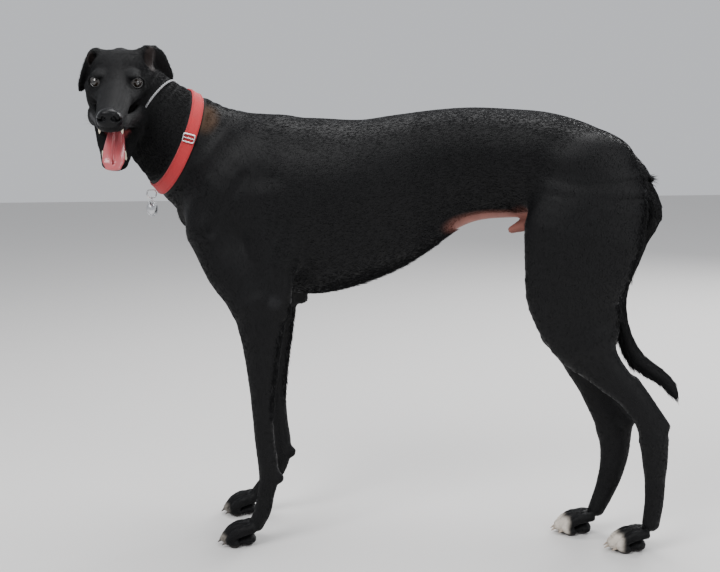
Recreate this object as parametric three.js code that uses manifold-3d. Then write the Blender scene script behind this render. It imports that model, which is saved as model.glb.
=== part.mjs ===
// A greyhound at life size, standing with its head turned to its left, in a red collar.
// Millimetres, +Z up. The dog faces -X and its left side faces -Y. The flesh is one distance
// field of tapered limbs, ellipsoids and ear blades, meshed once and parted by thin plane cuts.
import * as THREE from "three";
import { mergeVertices } from "three/addons/utils/BufferGeometryUtils.js";
import Module from "manifold-3d";

const wasm = await Module();
wasm.setup();
const { Manifold, Mesh } = wasm;

// Driving dimensions
const WITHERS = 738;
const CHEST_FLOOR = 429;
const CHEST_HALF_WIDTH = 90;
const LOIN_HALF_WIDTH = 62;
const RUMP_HALF_WIDTH = 74;
const FORE_TRACK = 76;
const EYE_SPACING = 63;
const EYE_RADIUS = 10.7;
const CUT_GAP = 0.3;
const CENTRE = new THREE.Vector3(54, 54.5, 0);
const BODY_TRIANGLES = 7400;

const v3 = (x, y, z) => new THREE.Vector3(x, y, z);
const LEFT = -1;
const RIGHT = 1;
const SIDES = { left: LEFT, right: RIGHT };

// The head's own axes: forward along the muzzle, to the dog's left, and up
const HEAD_AT = v3(-471.6, -95, 795.4);
const HEAD_BEARING = THREE.MathUtils.degToRad(-76);
const HEAD_PITCH = THREE.MathUtils.degToRad(20);
const HEAD_ROLL = THREE.MathUtils.degToRad(-2.7);
const headAxes = (() => {
  const ahead = v3(Math.cos(HEAD_BEARING), Math.sin(HEAD_BEARING), 0);
  const across = v3(-Math.sin(HEAD_BEARING), Math.cos(HEAD_BEARING), 0);
  const pitch = new THREE.Quaternion().setFromAxisAngle(across, HEAD_PITCH);
  const forward = ahead.applyQuaternion(pitch);
  const roll = new THREE.Quaternion().setFromAxisAngle(forward, HEAD_ROLL);
  const left = across.applyQuaternion(roll);
  return { forward, left, up: v3(0, 0, 0).crossVectors(forward, left) };
})();
const headPoint = (f, l, u) =>
  HEAD_AT.clone()
    .addScaledVector(headAxes.forward, f)
    .addScaledVector(headAxes.left, l)
    .addScaledVector(headAxes.up, u);
const headDirection = (f, l, u) => headPoint(f, l, u).sub(HEAD_AT).normalize();

// Distance shapes: each has a box, a distance function and how it blends with what came before
const FAR = 1e3;
const MARGIN = 30;

function ellipseDistance(x, y, z, a, b, c) {
  const k0 = Math.hypot(x / a, y / b, z / c);
  const k1 = Math.hypot(x / (a * a), y / (b * b), z / (c * c));
  return k1 < 1e-9 ? -Math.min(a, b, c) : (k0 * (k0 - 1)) / k1;
}

const blended = (shape, blend, op = "join") => ({ ...shape, blend, op });

function boxAround(points, reach) {
  const box = new THREE.Box3().setFromPoints(points);
  return box.expandByScalar(reach + MARGIN);
}

// An ellipsoid with radii along three given axes
function ellipsoid(centre, radii, axes) {
  const [e1, e2, e3] = axes ?? [v3(1, 0, 0), v3(0, 1, 0), v3(0, 0, 1)];
  const [a, b, c] = radii;
  const distance = (x, y, z) => {
    const dx = x - centre.x;
    const dy = y - centre.y;
    const dz = z - centre.z;
    return ellipseDistance(
      dx * e1.x + dy * e1.y + dz * e1.z,
      dx * e2.x + dy * e2.y + dz * e2.z,
      dx * e3.x + dy * e3.y + dz * e3.z,
      a,
      b,
      c,
    );
  };
  return { box: boxAround([centre], Math.max(a, b, c)), distance };
}

const headEllipsoid = (f, l, u, radii) =>
  ellipsoid(headPoint(f, l, u), radii, [headAxes.forward, headAxes.left, headAxes.up]);

// Stations with any number of values, smoothed by a centripetal curve and resampled
function resample(stations, steps) {
  const places = new THREE.CatmullRomCurve3(
    stations.map((s) => s.at),
    false,
    "centripetal",
  );
  const values = (key) => {
    const points = stations.map((s) => v3(s[key], 0, 0));
    return (t) => {
      const scaled = t * (points.length - 1);
      const i = Math.min(points.length - 2, Math.floor(scaled));
      const w = scaled - i;
      const ease = w * w * (3 - 2 * w);
      const blend = 0.5 * w + 0.5 * ease;
      return points[i].x + (points[i + 1].x - points[i].x) * blend;
    };
  };
  const a = values("a");
  const b = values("b");
  const rows = [];
  const count = (stations.length - 1) * steps;
  for (let i = 0; i <= count; i += 1) {
    const t = i / count;
    rows.push({ at: places.getPoint(t), a: a(t), b: b(t) });
  }
  return rows;
}

// A tapered limb: a is its half depth across the given side axis, b its half width along it
function limb(stations, side = v3(0, 1, 0), steps = 3) {
  const rows = resample(stations, steps);
  const spans = rows.slice(1).map((end, i) => {
    const start = rows[i];
    const along = end.at.clone().sub(start.at);
    const length = along.length();
    along.divideScalar(length);
    const depth = v3(0, 0, 0).crossVectors(along, side).normalize();
    const width = v3(0, 0, 0).crossVectors(depth, along).normalize();
    return { start, end, along, length, depth, width };
  });
  const distance = (x, y, z) => {
    let best = FAR;
    for (const s of spans) {
      const px = x - s.start.at.x;
      const py = y - s.start.at.y;
      const pz = z - s.start.at.z;
      const run = px * s.along.x + py * s.along.y + pz * s.along.z;
      const t = Math.min(1, Math.max(0, run / s.length));
      const over = run - t * s.length;
      const a = s.start.a + (s.end.a - s.start.a) * t;
      const b = s.start.b + (s.end.b - s.start.b) * t;
      const d = ellipseDistance(
        px * s.depth.x + py * s.depth.y + pz * s.depth.z,
        px * s.width.x + py * s.width.y + pz * s.width.z,
        over,
        a,
        b,
        Math.min(a, b),
      );
      if (d < best) best = d;
    }
    return best;
  };
  const reach = Math.max(...rows.map((r) => Math.max(r.a, r.b)));
  return { box: boxAround(rows.map((r) => r.at), reach), distance, rows };
}

// A smooth curve through [x, value] pairs
function profile(pairs) {
  return (x) => {
    const last = pairs.length - 1;
    if (x <= pairs[0][0]) return pairs[0][1];
    if (x >= pairs[last][0]) return pairs[last][1];
    let i = 0;
    while (pairs[i + 1][0] < x) i += 1;
    const slope = (j) => {
      const p = pairs[Math.max(0, j - 1)];
      const q = pairs[Math.min(last, j + 1)];
      return (q[1] - p[1]) / (q[0] - p[0]);
    };
    const [x0, y0] = pairs[i];
    const [x1, y1] = pairs[i + 1];
    const w = x1 - x0;
    const t = (x - x0) / w;
    const h = t * t * (3 - 2 * t);
    return y0 + (y1 - y0) * h + w * t * (1 - t) * (slope(i) * (1 - t) - slope(i + 1) * t);
  };
}

// Trunk: the back line, the chest and belly line, and the half width along the dog
const TRUNK_FRONT = -388;
const TRUNK_REAR = 392;
const backLine = profile([
  [TRUNK_FRONT, 572],
  [-373, 618],
  [-342, 668],
  [-300, 706],
  [-261, WITHERS - 10],
  [-220, WITHERS - 6],
  [-150, WITHERS - 9],
  [-82, WITHERS - 13],
  [-20, WITHERS - 6],
  [50, WITHERS + 1],
  [106, WITHERS + 3],
  [170, WITHERS - 1],
  [230, WITHERS - 8],
  [287, WITHERS - 25],
  [326, WITHERS - 46],
  [355, WITHERS - 74],
  [380, WITHERS - 102],
  [TRUNK_REAR, WITHERS - 118],
]);
const bellyLine = profile([
  [TRUNK_FRONT, 548],
  [-376, 505],
  [-346, 468],
  [-300, 446],
  [-250, CHEST_FLOOR + 3],
  [-200, CHEST_FLOOR],
  [-155, CHEST_FLOOR + 1],
  [-110, CHEST_FLOOR + 11],
  [-60, CHEST_FLOOR + 28],
  [-10, CHEST_FLOOR + 50],
  [36, CHEST_FLOOR + 79],
  [80, CHEST_FLOOR + 110],
  [117, CHEST_FLOOR + 124],
  [170, CHEST_FLOOR + 128],
  [250, CHEST_FLOOR + 130],
  [300, CHEST_FLOOR + 140],
  [345, CHEST_FLOOR + 164],
  [378, CHEST_FLOOR + 184],
  [TRUNK_REAR, CHEST_FLOOR + 189],
]);
const trunkHalfWidth = profile([
  [TRUNK_FRONT, 14],
  [-372, 34],
  [-334, 52],
  [-280, 66],
  [-220, CHEST_HALF_WIDTH - 8],
  [-150, CHEST_HALF_WIDTH],
  [-90, CHEST_HALF_WIDTH],
  [-30, CHEST_HALF_WIDTH - 12],
  [40, LOIN_HALF_WIDTH + 4],
  [100, LOIN_HALF_WIDTH],
  [160, LOIN_HALF_WIDTH + 4],
  [230, RUMP_HALF_WIDTH],
  [290, RUMP_HALF_WIDTH - 4],
  [335, 52],
  [368, 32],
  [TRUNK_REAR, 12],
]);
const TRUNK_EGG = 0.2;

function trunk() {
  const distance = (x, y, z) => {
    const inside = Math.min(TRUNK_REAR, Math.max(TRUNK_FRONT, x));
    const top = backLine(inside);
    const bottom = bellyLine(inside);
    const half = (top - bottom) / 2;
    const v = z - (top + bottom) / 2;
    const lift = 1 + TRUNK_EGG * Math.max(-1, Math.min(1, v / half));
    return ellipseDistance(x - inside, y, v, 10, trunkHalfWidth(inside) * lift, half);
  };
  const box = new THREE.Box3(v3(TRUNK_FRONT, -115, 400), v3(TRUNK_REAR, 115, 760));
  return { box: box.expandByScalar(MARGIN), distance };
}

const station = (x, y, z, a, b) => ({ at: v3(x, y, z), a, b });

function neck() {
  return limb([
    station(-252, 0, 620, 103, 64),
    station(-325, -2, 645, 106, 60),
    station(-376.5, -6, 680, 93, 55),
    station(-417, -12, 715.5, 80, 51),
    station(-450, -18, 753, 67, 49),
    station(-474, -28, 788, 55, 48),
  ]);
}

// Shoulder blade, upper arm and triceps, alike on both sides
function shoulder(side) {
  const y = (value) => side * value;
  return [
    blended(
      limb([
        station(-208, y(26), 690, 32, 19),
        station(-250, y(46), 660, 48, 26),
        station(-297, y(58), 606, 55, 29),
        station(-338, y(55), 556, 40, 27),
      ]),
      34,
    ),
    blended(
      limb([
        station(-333, y(58), 548, 43, 27),
        station(-296, y(68), 482, 46, 25),
        station(-260, y(72), 428, 41, 23),
      ]),
      24,
    ),
    blended(
      limb([
        station(-232, y(62), 600, 46, 26),
        station(-222, y(70), 520, 44, 24),
        station(-216, y(73), 440, 25, 18),
        station(-208, y(74), 408, 11, 10),
      ]),
      20,
    ),
  ];
}

// Forelegs from the elbow down to the pastern: the right one reaches further forward
function foreleg(side) {
  const track = (value) => side * (FORE_TRACK + value);
  const right = side === RIGHT;
  const shift = right ? -13 : 0;
  const bones = [
    station(-249 + shift, track(-5), 418, 47, 23),
    station(-248.5 + shift, track(-4), 386, 41, 22.5),
    station(-248 + shift, track(-3), 354, 34, 21),
    station(-248.5 + shift, track(-2), 309, 27, 18.5),
    station(-249.5 + shift, track(-1), 264, 21, 16.5),
    station(-249.5 + shift, track(0), 222, 18, 15.6),
    station(-247 + shift, track(0), 176, 17.6, 16.6),
    station(-243.5 + shift, track(0), 144, 18, 18),
    station(-244 + shift, track(0), 116, 17, 17),
  ];
  const pastern = right
    ? [station(-266, track(0), 88, 15.5, 15.5), station(-288, track(0), 60, 15, 15.5)]
    : [station(-250, track(0), 90, 15.5, 15.5), station(-256, track(0), 62, 15, 15.5)];
  const knuckles = right ? station(-306, track(0), 38, 14, 19) : station(-268, track(0), 38, 14, 19);
  return [
    blended(limb([...bones, ...pastern, knuckles]), 16),
    blended(ellipsoid(v3(-226 + shift, track(0), 121), [9.5, 7.5, 10]), 9),
  ];
}

// Hind legs: thigh, shank and hock, with the right foot further forward
function hindleg(side) {
  const y = (value) => side * value;
  const right = side === RIGHT;
  const thigh = right
    ? [
        station(286, y(44), 645, 62, 32),
        station(290, y(54), 590, 88, 38),
        station(282, y(58), 535, 88, 37),
        station(274, y(57), 485, 80, 33),
        station(266, y(54), 435, 71, 28),
        station(262, y(51), 395, 62, 25),
        station(268, y(50), 360, 53, 23),
      ]
    : [
        station(290, y(44), 645, 64, 32),
        station(298, y(54), 595, 88, 38),
        station(286, y(60), 536, 95, 38),
        station(278, y(60), 485, 87, 34),
        station(271, y(58), 440, 78, 29),
        station(277.5, y(54), 400, 69.5, 26),
        station(289, y(52), 362, 58, 24),
      ];
  const shank = right
    ? [
        station(266, y(50), 352, 44, 23),
        station(284, y(49), 308, 33, 21),
        station(305, y(47), 262, 26, 18),
        station(322, y(45), 222, 24, 16.5),
        station(338, y(44), 190, 26, 17),
      ]
    : [
        station(290, y(52), 350, 46, 23),
        station(325, y(50), 308, 31, 21),
        station(362, y(48), 268, 22, 18),
        station(387, y(46), 232, 20, 16),
        station(401, y(44), 200, 22, 16.5),
      ];
  const cannon = right
    ? [
        station(342, y(43), 184, 29.5, 17),
        station(342, y(42), 146, 25, 15),
        station(335.5, y(40), 109, 21, 14),
        station(324, y(39), 74, 17.5, 14),
        station(312, y(38), 46, 15, 17),
      ]
    : [
        station(402.5, y(43), 190, 24, 16.5),
        station(404, y(42), 158, 21.5, 14.5),
        station(404.5, y(40), 122, 17.5, 13.5),
        station(403.5, y(39), 84, 16, 14),
        station(399, y(38), 50, 15, 17),
      ];
  const heel = right ? v3(368, y(43), 202) : v3(419, y(43), 217);
  const calf = right ? v3(312, y(47), 268) : v3(368, y(47), 290);
  return [
    blended(limb(thigh), 30),
    blended(limb(shank), 22),
    blended(limb(cannon), 12),
    blended(limb([{ at: calf, a: 10, b: 9 }, { at: heel, a: 9, b: 8.5 }]), 14),
    blended(ellipsoid(v3(302, y(40), 650), [60, 34, 42]), 30),
    blended(ellipsoid(v3(366, y(32), 622), [22, 18, 26]), 20),
  ];
}

// The sheath below the belly, in front of the thighs
const sheath = () =>
  limb([
    station(232, 0, 556, 15, 15),
    station(190, 0, 545, 11.5, 11),
    station(169, 0, 537, 7, 6.5),
  ]);

const TAIL = [
  station(340, 0, 656, 19, 20),
  station(369, 0, 622, 18, 18),
  station(391, 0, 588, 16.5, 16),
  station(399, 0, 559, 15, 14.5),
  station(380, 0, 522, 13.8, 13.5),
  station(366, 0, 486, 13.5, 13),
  station(350, 0, 446, 13, 12.5),
  station(346, 0, 404, 12.5, 12),
  station(356, -1, 358, 12, 11.5),
  station(377, -2, 318, 14, 12),
  station(409, -3, 295, 12.3, 11),
  station(431, -4, 275, 10, 8.5),
  station(443, -5, 251, 2.6, 2.2),
];

// Paws: four toes with knuckles, a pad under each and a wide pad behind them
const TOES = [
  { across: -1, ahead: -9, tip: -10, size: 0.9 },
  { across: -0.34, ahead: 3, tip: 2, size: 1 },
  { across: 0.34, ahead: 4, tip: 3, size: 1 },
  { across: 1, ahead: -8, tip: -9, size: 0.9 },
];
const PAWS = {
  front_left: { at: v3(-303, -77, 0), length: 66, spread: 20, toeRadius: 10.5 },
  front_right: { at: v3(-341, 77, 0), length: 64, spread: 20, toeRadius: 10.5 },
  rear_left: { at: v3(357, -37, 0), length: 72, spread: 17.5, toeRadius: 9.8 },
  rear_right: { at: v3(268, 37, 0), length: 74, spread: 17.5, toeRadius: 9.8 },
};
const AHEAD = -1;

function toePlaces(paw) {
  return TOES.map((toe) => {
    const y = paw.at.y + toe.across * paw.spread;
    const x = (reach) => paw.at.x + AHEAD * (reach + toe.ahead);
    const r = paw.toeRadius * toe.size;
    return { x, y, r, out: toe.across };
  });
}

function pawFlesh(paw) {
  const shapes = [];
  const half = paw.length / 2;
  for (const toe of toePlaces(paw)) {
    shapes.push(
      blended(
        limb([
          station(toe.x(-half + 12), toe.y * 0.7 + paw.at.y * 0.3, 33, toe.r, toe.r * 0.95),
          station(toe.x(-6), toe.y, 30, toe.r * 1.05, toe.r * 0.95),
          station(toe.x(8), toe.y, 22, toe.r, toe.r * 0.92),
          station(toe.x(18), toe.y, 12.5, toe.r * 0.82, toe.r * 0.8),
        ]),
        4,
      ),
    );
    shapes.push(blended(ellipsoid(v3(toe.x(9), toe.y, 7), [11, toe.r * 0.82, 8.5]), 4));
  }
  const pad = v3(paw.at.x - AHEAD * (half * 0.52), paw.at.y, 10);
  shapes.push(blended(ellipsoid(pad, [16, paw.spread * 0.95, 11.5]), 6));
  return shapes;
}

// Head: skull, cheeks, muzzle and lips, in the head's own forward, left and up distances
const headStation = (f, l, u, a, b) => ({ at: headPoint(f, l, u), a, b });
const EYE_SIDE = EYE_SPACING / 2;
const eyeCentre = (lr) => headPoint(-8, lr * EYE_SIDE, -1);
const eyeAxis = (lr) => headDirection(0.88, lr * 0.46, 0.1);
const lidCentre = (lr) => eyeCentre(lr).addScaledVector(eyeAxis(lr), 6);
const eyeFrame = (lr) => {
  const out = eyeAxis(lr);
  const along = headDirection(-lr * 0.46, 0.88, -lr * 0.18);
  return [out, along, v3(0, 0, 0).crossVectors(out, along).normalize()];
};

function headFlesh() {
  const left = headAxes.left;
  const shapes = [
    blended(headEllipsoid(-50, 0, -3, [50, 44, 40]), 20),
    blended(headEllipsoid(-22, 0, -6, [44, 33, 25]), 16),
    blended(headEllipsoid(-86, 0, 6, [20, 20, 24]), 16),
    blended(headEllipsoid(-72, 0, -34, [36, 42, 42]), 22),
    blended(
      limb(
        [
          headStation(-6, 0, -13, 27, 31),
          headStation(26, 0, -15, 25.5, 29),
          headStation(60, 0, -18, 23.5, 26.5),
          headStation(92, 0, -20, 21.5, 24),
          headStation(114, 0, -20.5, 20, 21.5),
        ],
        left,
      ),
      12,
    ),
  ];
  for (const lr of [1, -1]) {
    shapes.push(
      blended(headEllipsoid(-36, lr * 31, -32, [38, 24, 37]), 14),
      blended(headEllipsoid(-52, lr * 22, 14, [32, 21, 21]), 12),
      blended(headEllipsoid(-62, lr * 38, 14, [20, 15, 20]), 12),
      blended(headEllipsoid(-5, lr * 28, 12.5, [17, 11, 7.5]), 8),
      blended(ellipsoid(lidCentre(lr), [7, 14.5, 12], eyeFrame(lr)), 3),
      blended(
        limb([headStation(24, lr * 24, -18, 9, 8), headStation(-28, lr * 46, -17, 9, 9)], left),
        9,
      ),
      blended(
        limb(
          [
            headStation(112, lr * 11, -34, 8, 8),
            headStation(88, lr * 19, -39, 10.5, 6.5),
            headStation(60, lr * 24, -44, 12, 6.5),
            headStation(34, lr * 32, -50, 14, 8),
            headStation(8, lr * 38, -54, 18, 11),
          ],
          left,
        ),
        7,
      ),
    );
  }
  return shapes;
}

function jawFlesh() {
  return [
    blended(
      limb(
        [
          headStation(-34, 0, -58, 24, 46),
          headStation(-6, 0, -75, 22, 41),
          headStation(24, 0, -91, 17.5, 34),
          headStation(52, 0, -104, 14, 26),
          headStation(75, 0, -112.5, 12.5, 21.5),
        ],
        headAxes.left,
      ),
      10,
    ),
  ];
}

// Hollows: the open mouth, the seats of the eyes and the nostrils
function headHollows() {
  const left = headAxes.left;
  const shapes = [
    blended(
      limb(
        [
          headStation(26, 0, -68, 7, 20),
          headStation(54, 0, -72, 17, 19),
          headStation(84, 0, -75, 27, 17.5),
          headStation(118, 0, -84, 38, 18),
        ],
        left,
      ),
      5,
      "cut",
    ),
  ];
  for (const lr of [1, -1]) {
    const opening = eyeCentre(lr).addScaledVector(eyeAxis(lr), 11);
    shapes.push(blended(ellipsoid(opening, [8, 11.8, 8.8], eyeFrame(lr)), 1.5, "cut"));
  }
  return shapes;
}

// The nose pad stands on the flat end of the muzzle
const NOSE_PLANE = 118;
function noseFlesh() {
  return [
    blended(headEllipsoid(121, 0, -13.5, [11, 18.5, 13.5]), 4),
    blended(headEllipsoid(124, 0, -7, [8.5, 14, 7]), 4),
    blended(headEllipsoid(121, 0, -30, [7, 13, 9]), 5),
  ];
}
function nostrils() {
  return [1, -1].flatMap((lr) => [
    blended(headEllipsoid(134, lr * 8.2, -13.5, [8, 3.8, 3.4]), 1.5, "cut"),
    blended(headEllipsoid(129, lr * 15, -17.5, [9, 4.5, 1.7]), 1.2, "cut"),
  ]);
}

// Ears: each is a root that stands up from the skull, a flap that hangs from it, and a cup
function ears() {
  const row = ([f, l, u, a, b]) => ({ at: headPoint(f, l, u), a, b });
  const flap = (rows, side) => limb(rows.map(row), side);
  const roots = [
    flap([[-58, 34, 8, 12, 17], [-60, 42, 26, 9, 15], [-63, 48, 39, 6, 9]], headAxes.left),
    flap([[-58, -30, 8, 12, 16], [-57, -35, 24, 8, 14], [-56, -38, 34, 5.5, 8]], headAxes.left),
  ];
  const left = [
    [-68, 53, 34, 7, 12],
    [-76, 62, 19, 5.5, 16],
    [-83, 70, -2, 4.6, 15.5],
    [-86, 78, -18, 3.8, 12],
    [-86, 82, -30, 2.8, 6],
  ];
  const right = [
    [-54, -40, 27, 7, 11],
    [-51, -46, 12, 5.5, 14],
    [-47, -53, -5, 4.6, 13],
    [-45, -60, -20, 3.8, 10],
    [-45, -65, -30, 2.8, 5],
  ];
  return [
    ...roots.map((root) => blended(root, 10)),
    blended(flap(left, headDirection(-0.4, 0.85, 0.25)), 8),
    blended(flap(right, headDirection(0.5, -0.8, 0.3)), 8),
    blended(headEllipsoid(-48, 50, 27, [8, 8, 12]), 4, "cut"),
    blended(headEllipsoid(-46, -40, 22, [6, 7, 11]), 4, "cut"),
  ];
}

// Everything of flesh in the order it is blended
const fleshShapes = [
  blended(trunk(), 0),
  blended(neck(), 36),
  ...Object.values(SIDES).flatMap(shoulder),
  ...Object.values(SIDES).flatMap(hindleg),
  ...Object.values(SIDES).flatMap(foreleg),
  blended(sheath(), 10),
  ...Object.values(PAWS).flatMap(pawFlesh),
  ...headFlesh(),
  ...jawFlesh(),
  ...noseFlesh(),
  ...headHollows(),
  ...nostrils(),
  ...ears(),
];

function blendInto(before, distance, blend, op) {
  if (op === "cut") {
    const turned = -distance;
    const h = Math.max(blend - Math.abs(before - turned), 0) / Math.max(blend, 1e-6);
    return Math.max(before, turned) + (h * h * blend) / 4;
  }
  const h = Math.max(blend - Math.abs(before - distance), 0) / Math.max(blend, 1e-6);
  return Math.min(before, distance) - (h * h * blend) / 4;
}

// Grid lines that are closer in the given ranges
function gridLines(from, to, coarse, fineRanges) {
  const lines = [from];
  while (lines[lines.length - 1] < to) {
    const x = lines[lines.length - 1];
    const range = fineRanges.find(([a, b]) => x >= a && x < b);
    lines.push(x + (range ? range[2] : coarse));
  }
  return lines;
}

// Fills a grid with the shapes, each only inside its own box
function fillGrid(shapes, xs, ys, zs) {
  const nx = xs.length;
  const ny = ys.length;
  const values = new Float32Array(nx * ny * zs.length).fill(FAR);
  const span = (lines, low, high) => {
    const from = lines.findIndex((value) => value >= low);
    let to = lines.length;
    while (to > 0 && lines[to - 1] > high) to -= 1;
    return from < 0 ? [0, 0] : [from, to];
  };
  for (const s of shapes) {
    const [i0, i1] = span(xs, s.box.min.x, s.box.max.x);
    const [j0, j1] = span(ys, s.box.min.y, s.box.max.y);
    const [k0, k1] = span(zs, s.box.min.z, s.box.max.z);
    for (let k = k0; k < k1; k += 1) {
      for (let j = j0; j < j1; j += 1) {
        for (let i = i0; i < i1; i += 1) {
          const at = (k * ny + j) * nx + i;
          const d = s.distance(xs[i], ys[j], zs[k]);
          values[at] = blendInto(values[at], d, s.blend, s.op);
        }
      }
    }
  }
  return values;
}

// Fills in corners where the sign pattern of a grid square would pinch the surface
function unpinch(values, nx, ny, nz) {
  const steps = [1, nx, nx * ny];
  const pairs = [
    [0, 1],
    [1, 2],
    [0, 2],
  ];
  let found = 1;
  while (found > 0) {
    found = 0;
    for (let k = 0; k < nz - 1; k += 1) {
      for (let j = 0; j < ny - 1; j += 1) {
        for (let i = 0; i < nx - 1; i += 1) {
          const at = (k * ny + j) * nx + i;
          for (const [p, q] of pairs) {
            const corners = [at, at + steps[p], at + steps[p] + steps[q], at + steps[q]];
            const inside = corners.map((c) => values[c] < 0);
            if (inside[0] !== inside[2] || inside[1] !== inside[3] || inside[0] === inside[1])
              continue;
            const first = inside[0] ? 1 : 0;
            const low = values[corners[first]] < values[corners[first + 2]] ? first : first + 2;
            values[corners[low]] = -0.05;
            found += 1;
          }
        }
      }
    }
  }
  return values;
}

// Surface nets: one vertex in each cell that the surface crosses, a quad across each crossed edge
function surfaceNets(values, xs, ys, zs) {
  const nx = xs.length;
  const ny = ys.length;
  const nz = zs.length;
  const index = (i, j, k) => (k * ny + j) * nx + i;
  const cellVertex = new Int32Array(values.length).fill(-1);
  const positions = [];
  const triangles = [];
  const corner = [0, 1, 2, 3, 4, 5, 6, 7].map((c) => [c & 1, (c >> 1) & 1, (c >> 2) & 1]);
  const edges = [];
  for (let a = 0; a < 8; a += 1) {
    for (let axis = 0; axis < 3; axis += 1) {
      if (!(a & (1 << axis))) edges.push([a, a | (1 << axis)]);
    }
  }
  for (let k = 0; k < nz - 1; k += 1) {
    for (let j = 0; j < ny - 1; j += 1) {
      for (let i = 0; i < nx - 1; i += 1) {
        const v = corner.map(([a, b, c]) => values[index(i + a, j + b, k + c)]);
        const low = Math.min(...v);
        if (low >= 0 || Math.max(...v) < 0) continue;
        let sx = 0;
        let sy = 0;
        let sz = 0;
        let count = 0;
        for (const [a, b] of edges) {
          if (v[a] < 0 === v[b] < 0) continue;
          const t = v[a] / (v[a] - v[b]);
          const [ax, ay, az] = corner[a];
          const [bx, by, bz] = corner[b];
          sx += xs[i + ax] + (xs[i + bx] - xs[i + ax]) * t;
          sy += ys[j + ay] + (ys[j + by] - ys[j + ay]) * t;
          sz += zs[k + az] + (zs[k + bz] - zs[k + az]) * t;
          count += 1;
        }
        cellVertex[index(i, j, k)] = positions.length / 3;
        positions.push(sx / count, sy / count, sz / count);
      }
    }
  }
  const quad = (a, b, c, d, flip) => {
    if (flip) triangles.push(a, c, b, a, d, c);
    else triangles.push(a, b, c, a, c, d);
  };
  for (let k = 1; k < nz - 1; k += 1) {
    for (let j = 1; j < ny - 1; j += 1) {
      for (let i = 1; i < nx - 1; i += 1) {
        const here = values[index(i, j, k)] < 0;
        const cell = (a, b, c) => cellVertex[index(i - a, j - b, k - c)];
        if (here !== values[index(i + 1, j, k)] < 0)
          quad(cell(0, 1, 1), cell(0, 0, 1), cell(0, 0, 0), cell(0, 1, 0), !here);
        if (here !== values[index(i, j + 1, k)] < 0)
          quad(cell(1, 0, 1), cell(1, 0, 0), cell(0, 0, 0), cell(0, 0, 1), !here);
        if (here !== values[index(i, j, k + 1)] < 0)
          quad(cell(1, 1, 0), cell(0, 1, 0), cell(0, 0, 0), cell(1, 0, 0), !here);
      }
    }
  }
  return { positions, triangles };
}

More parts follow.
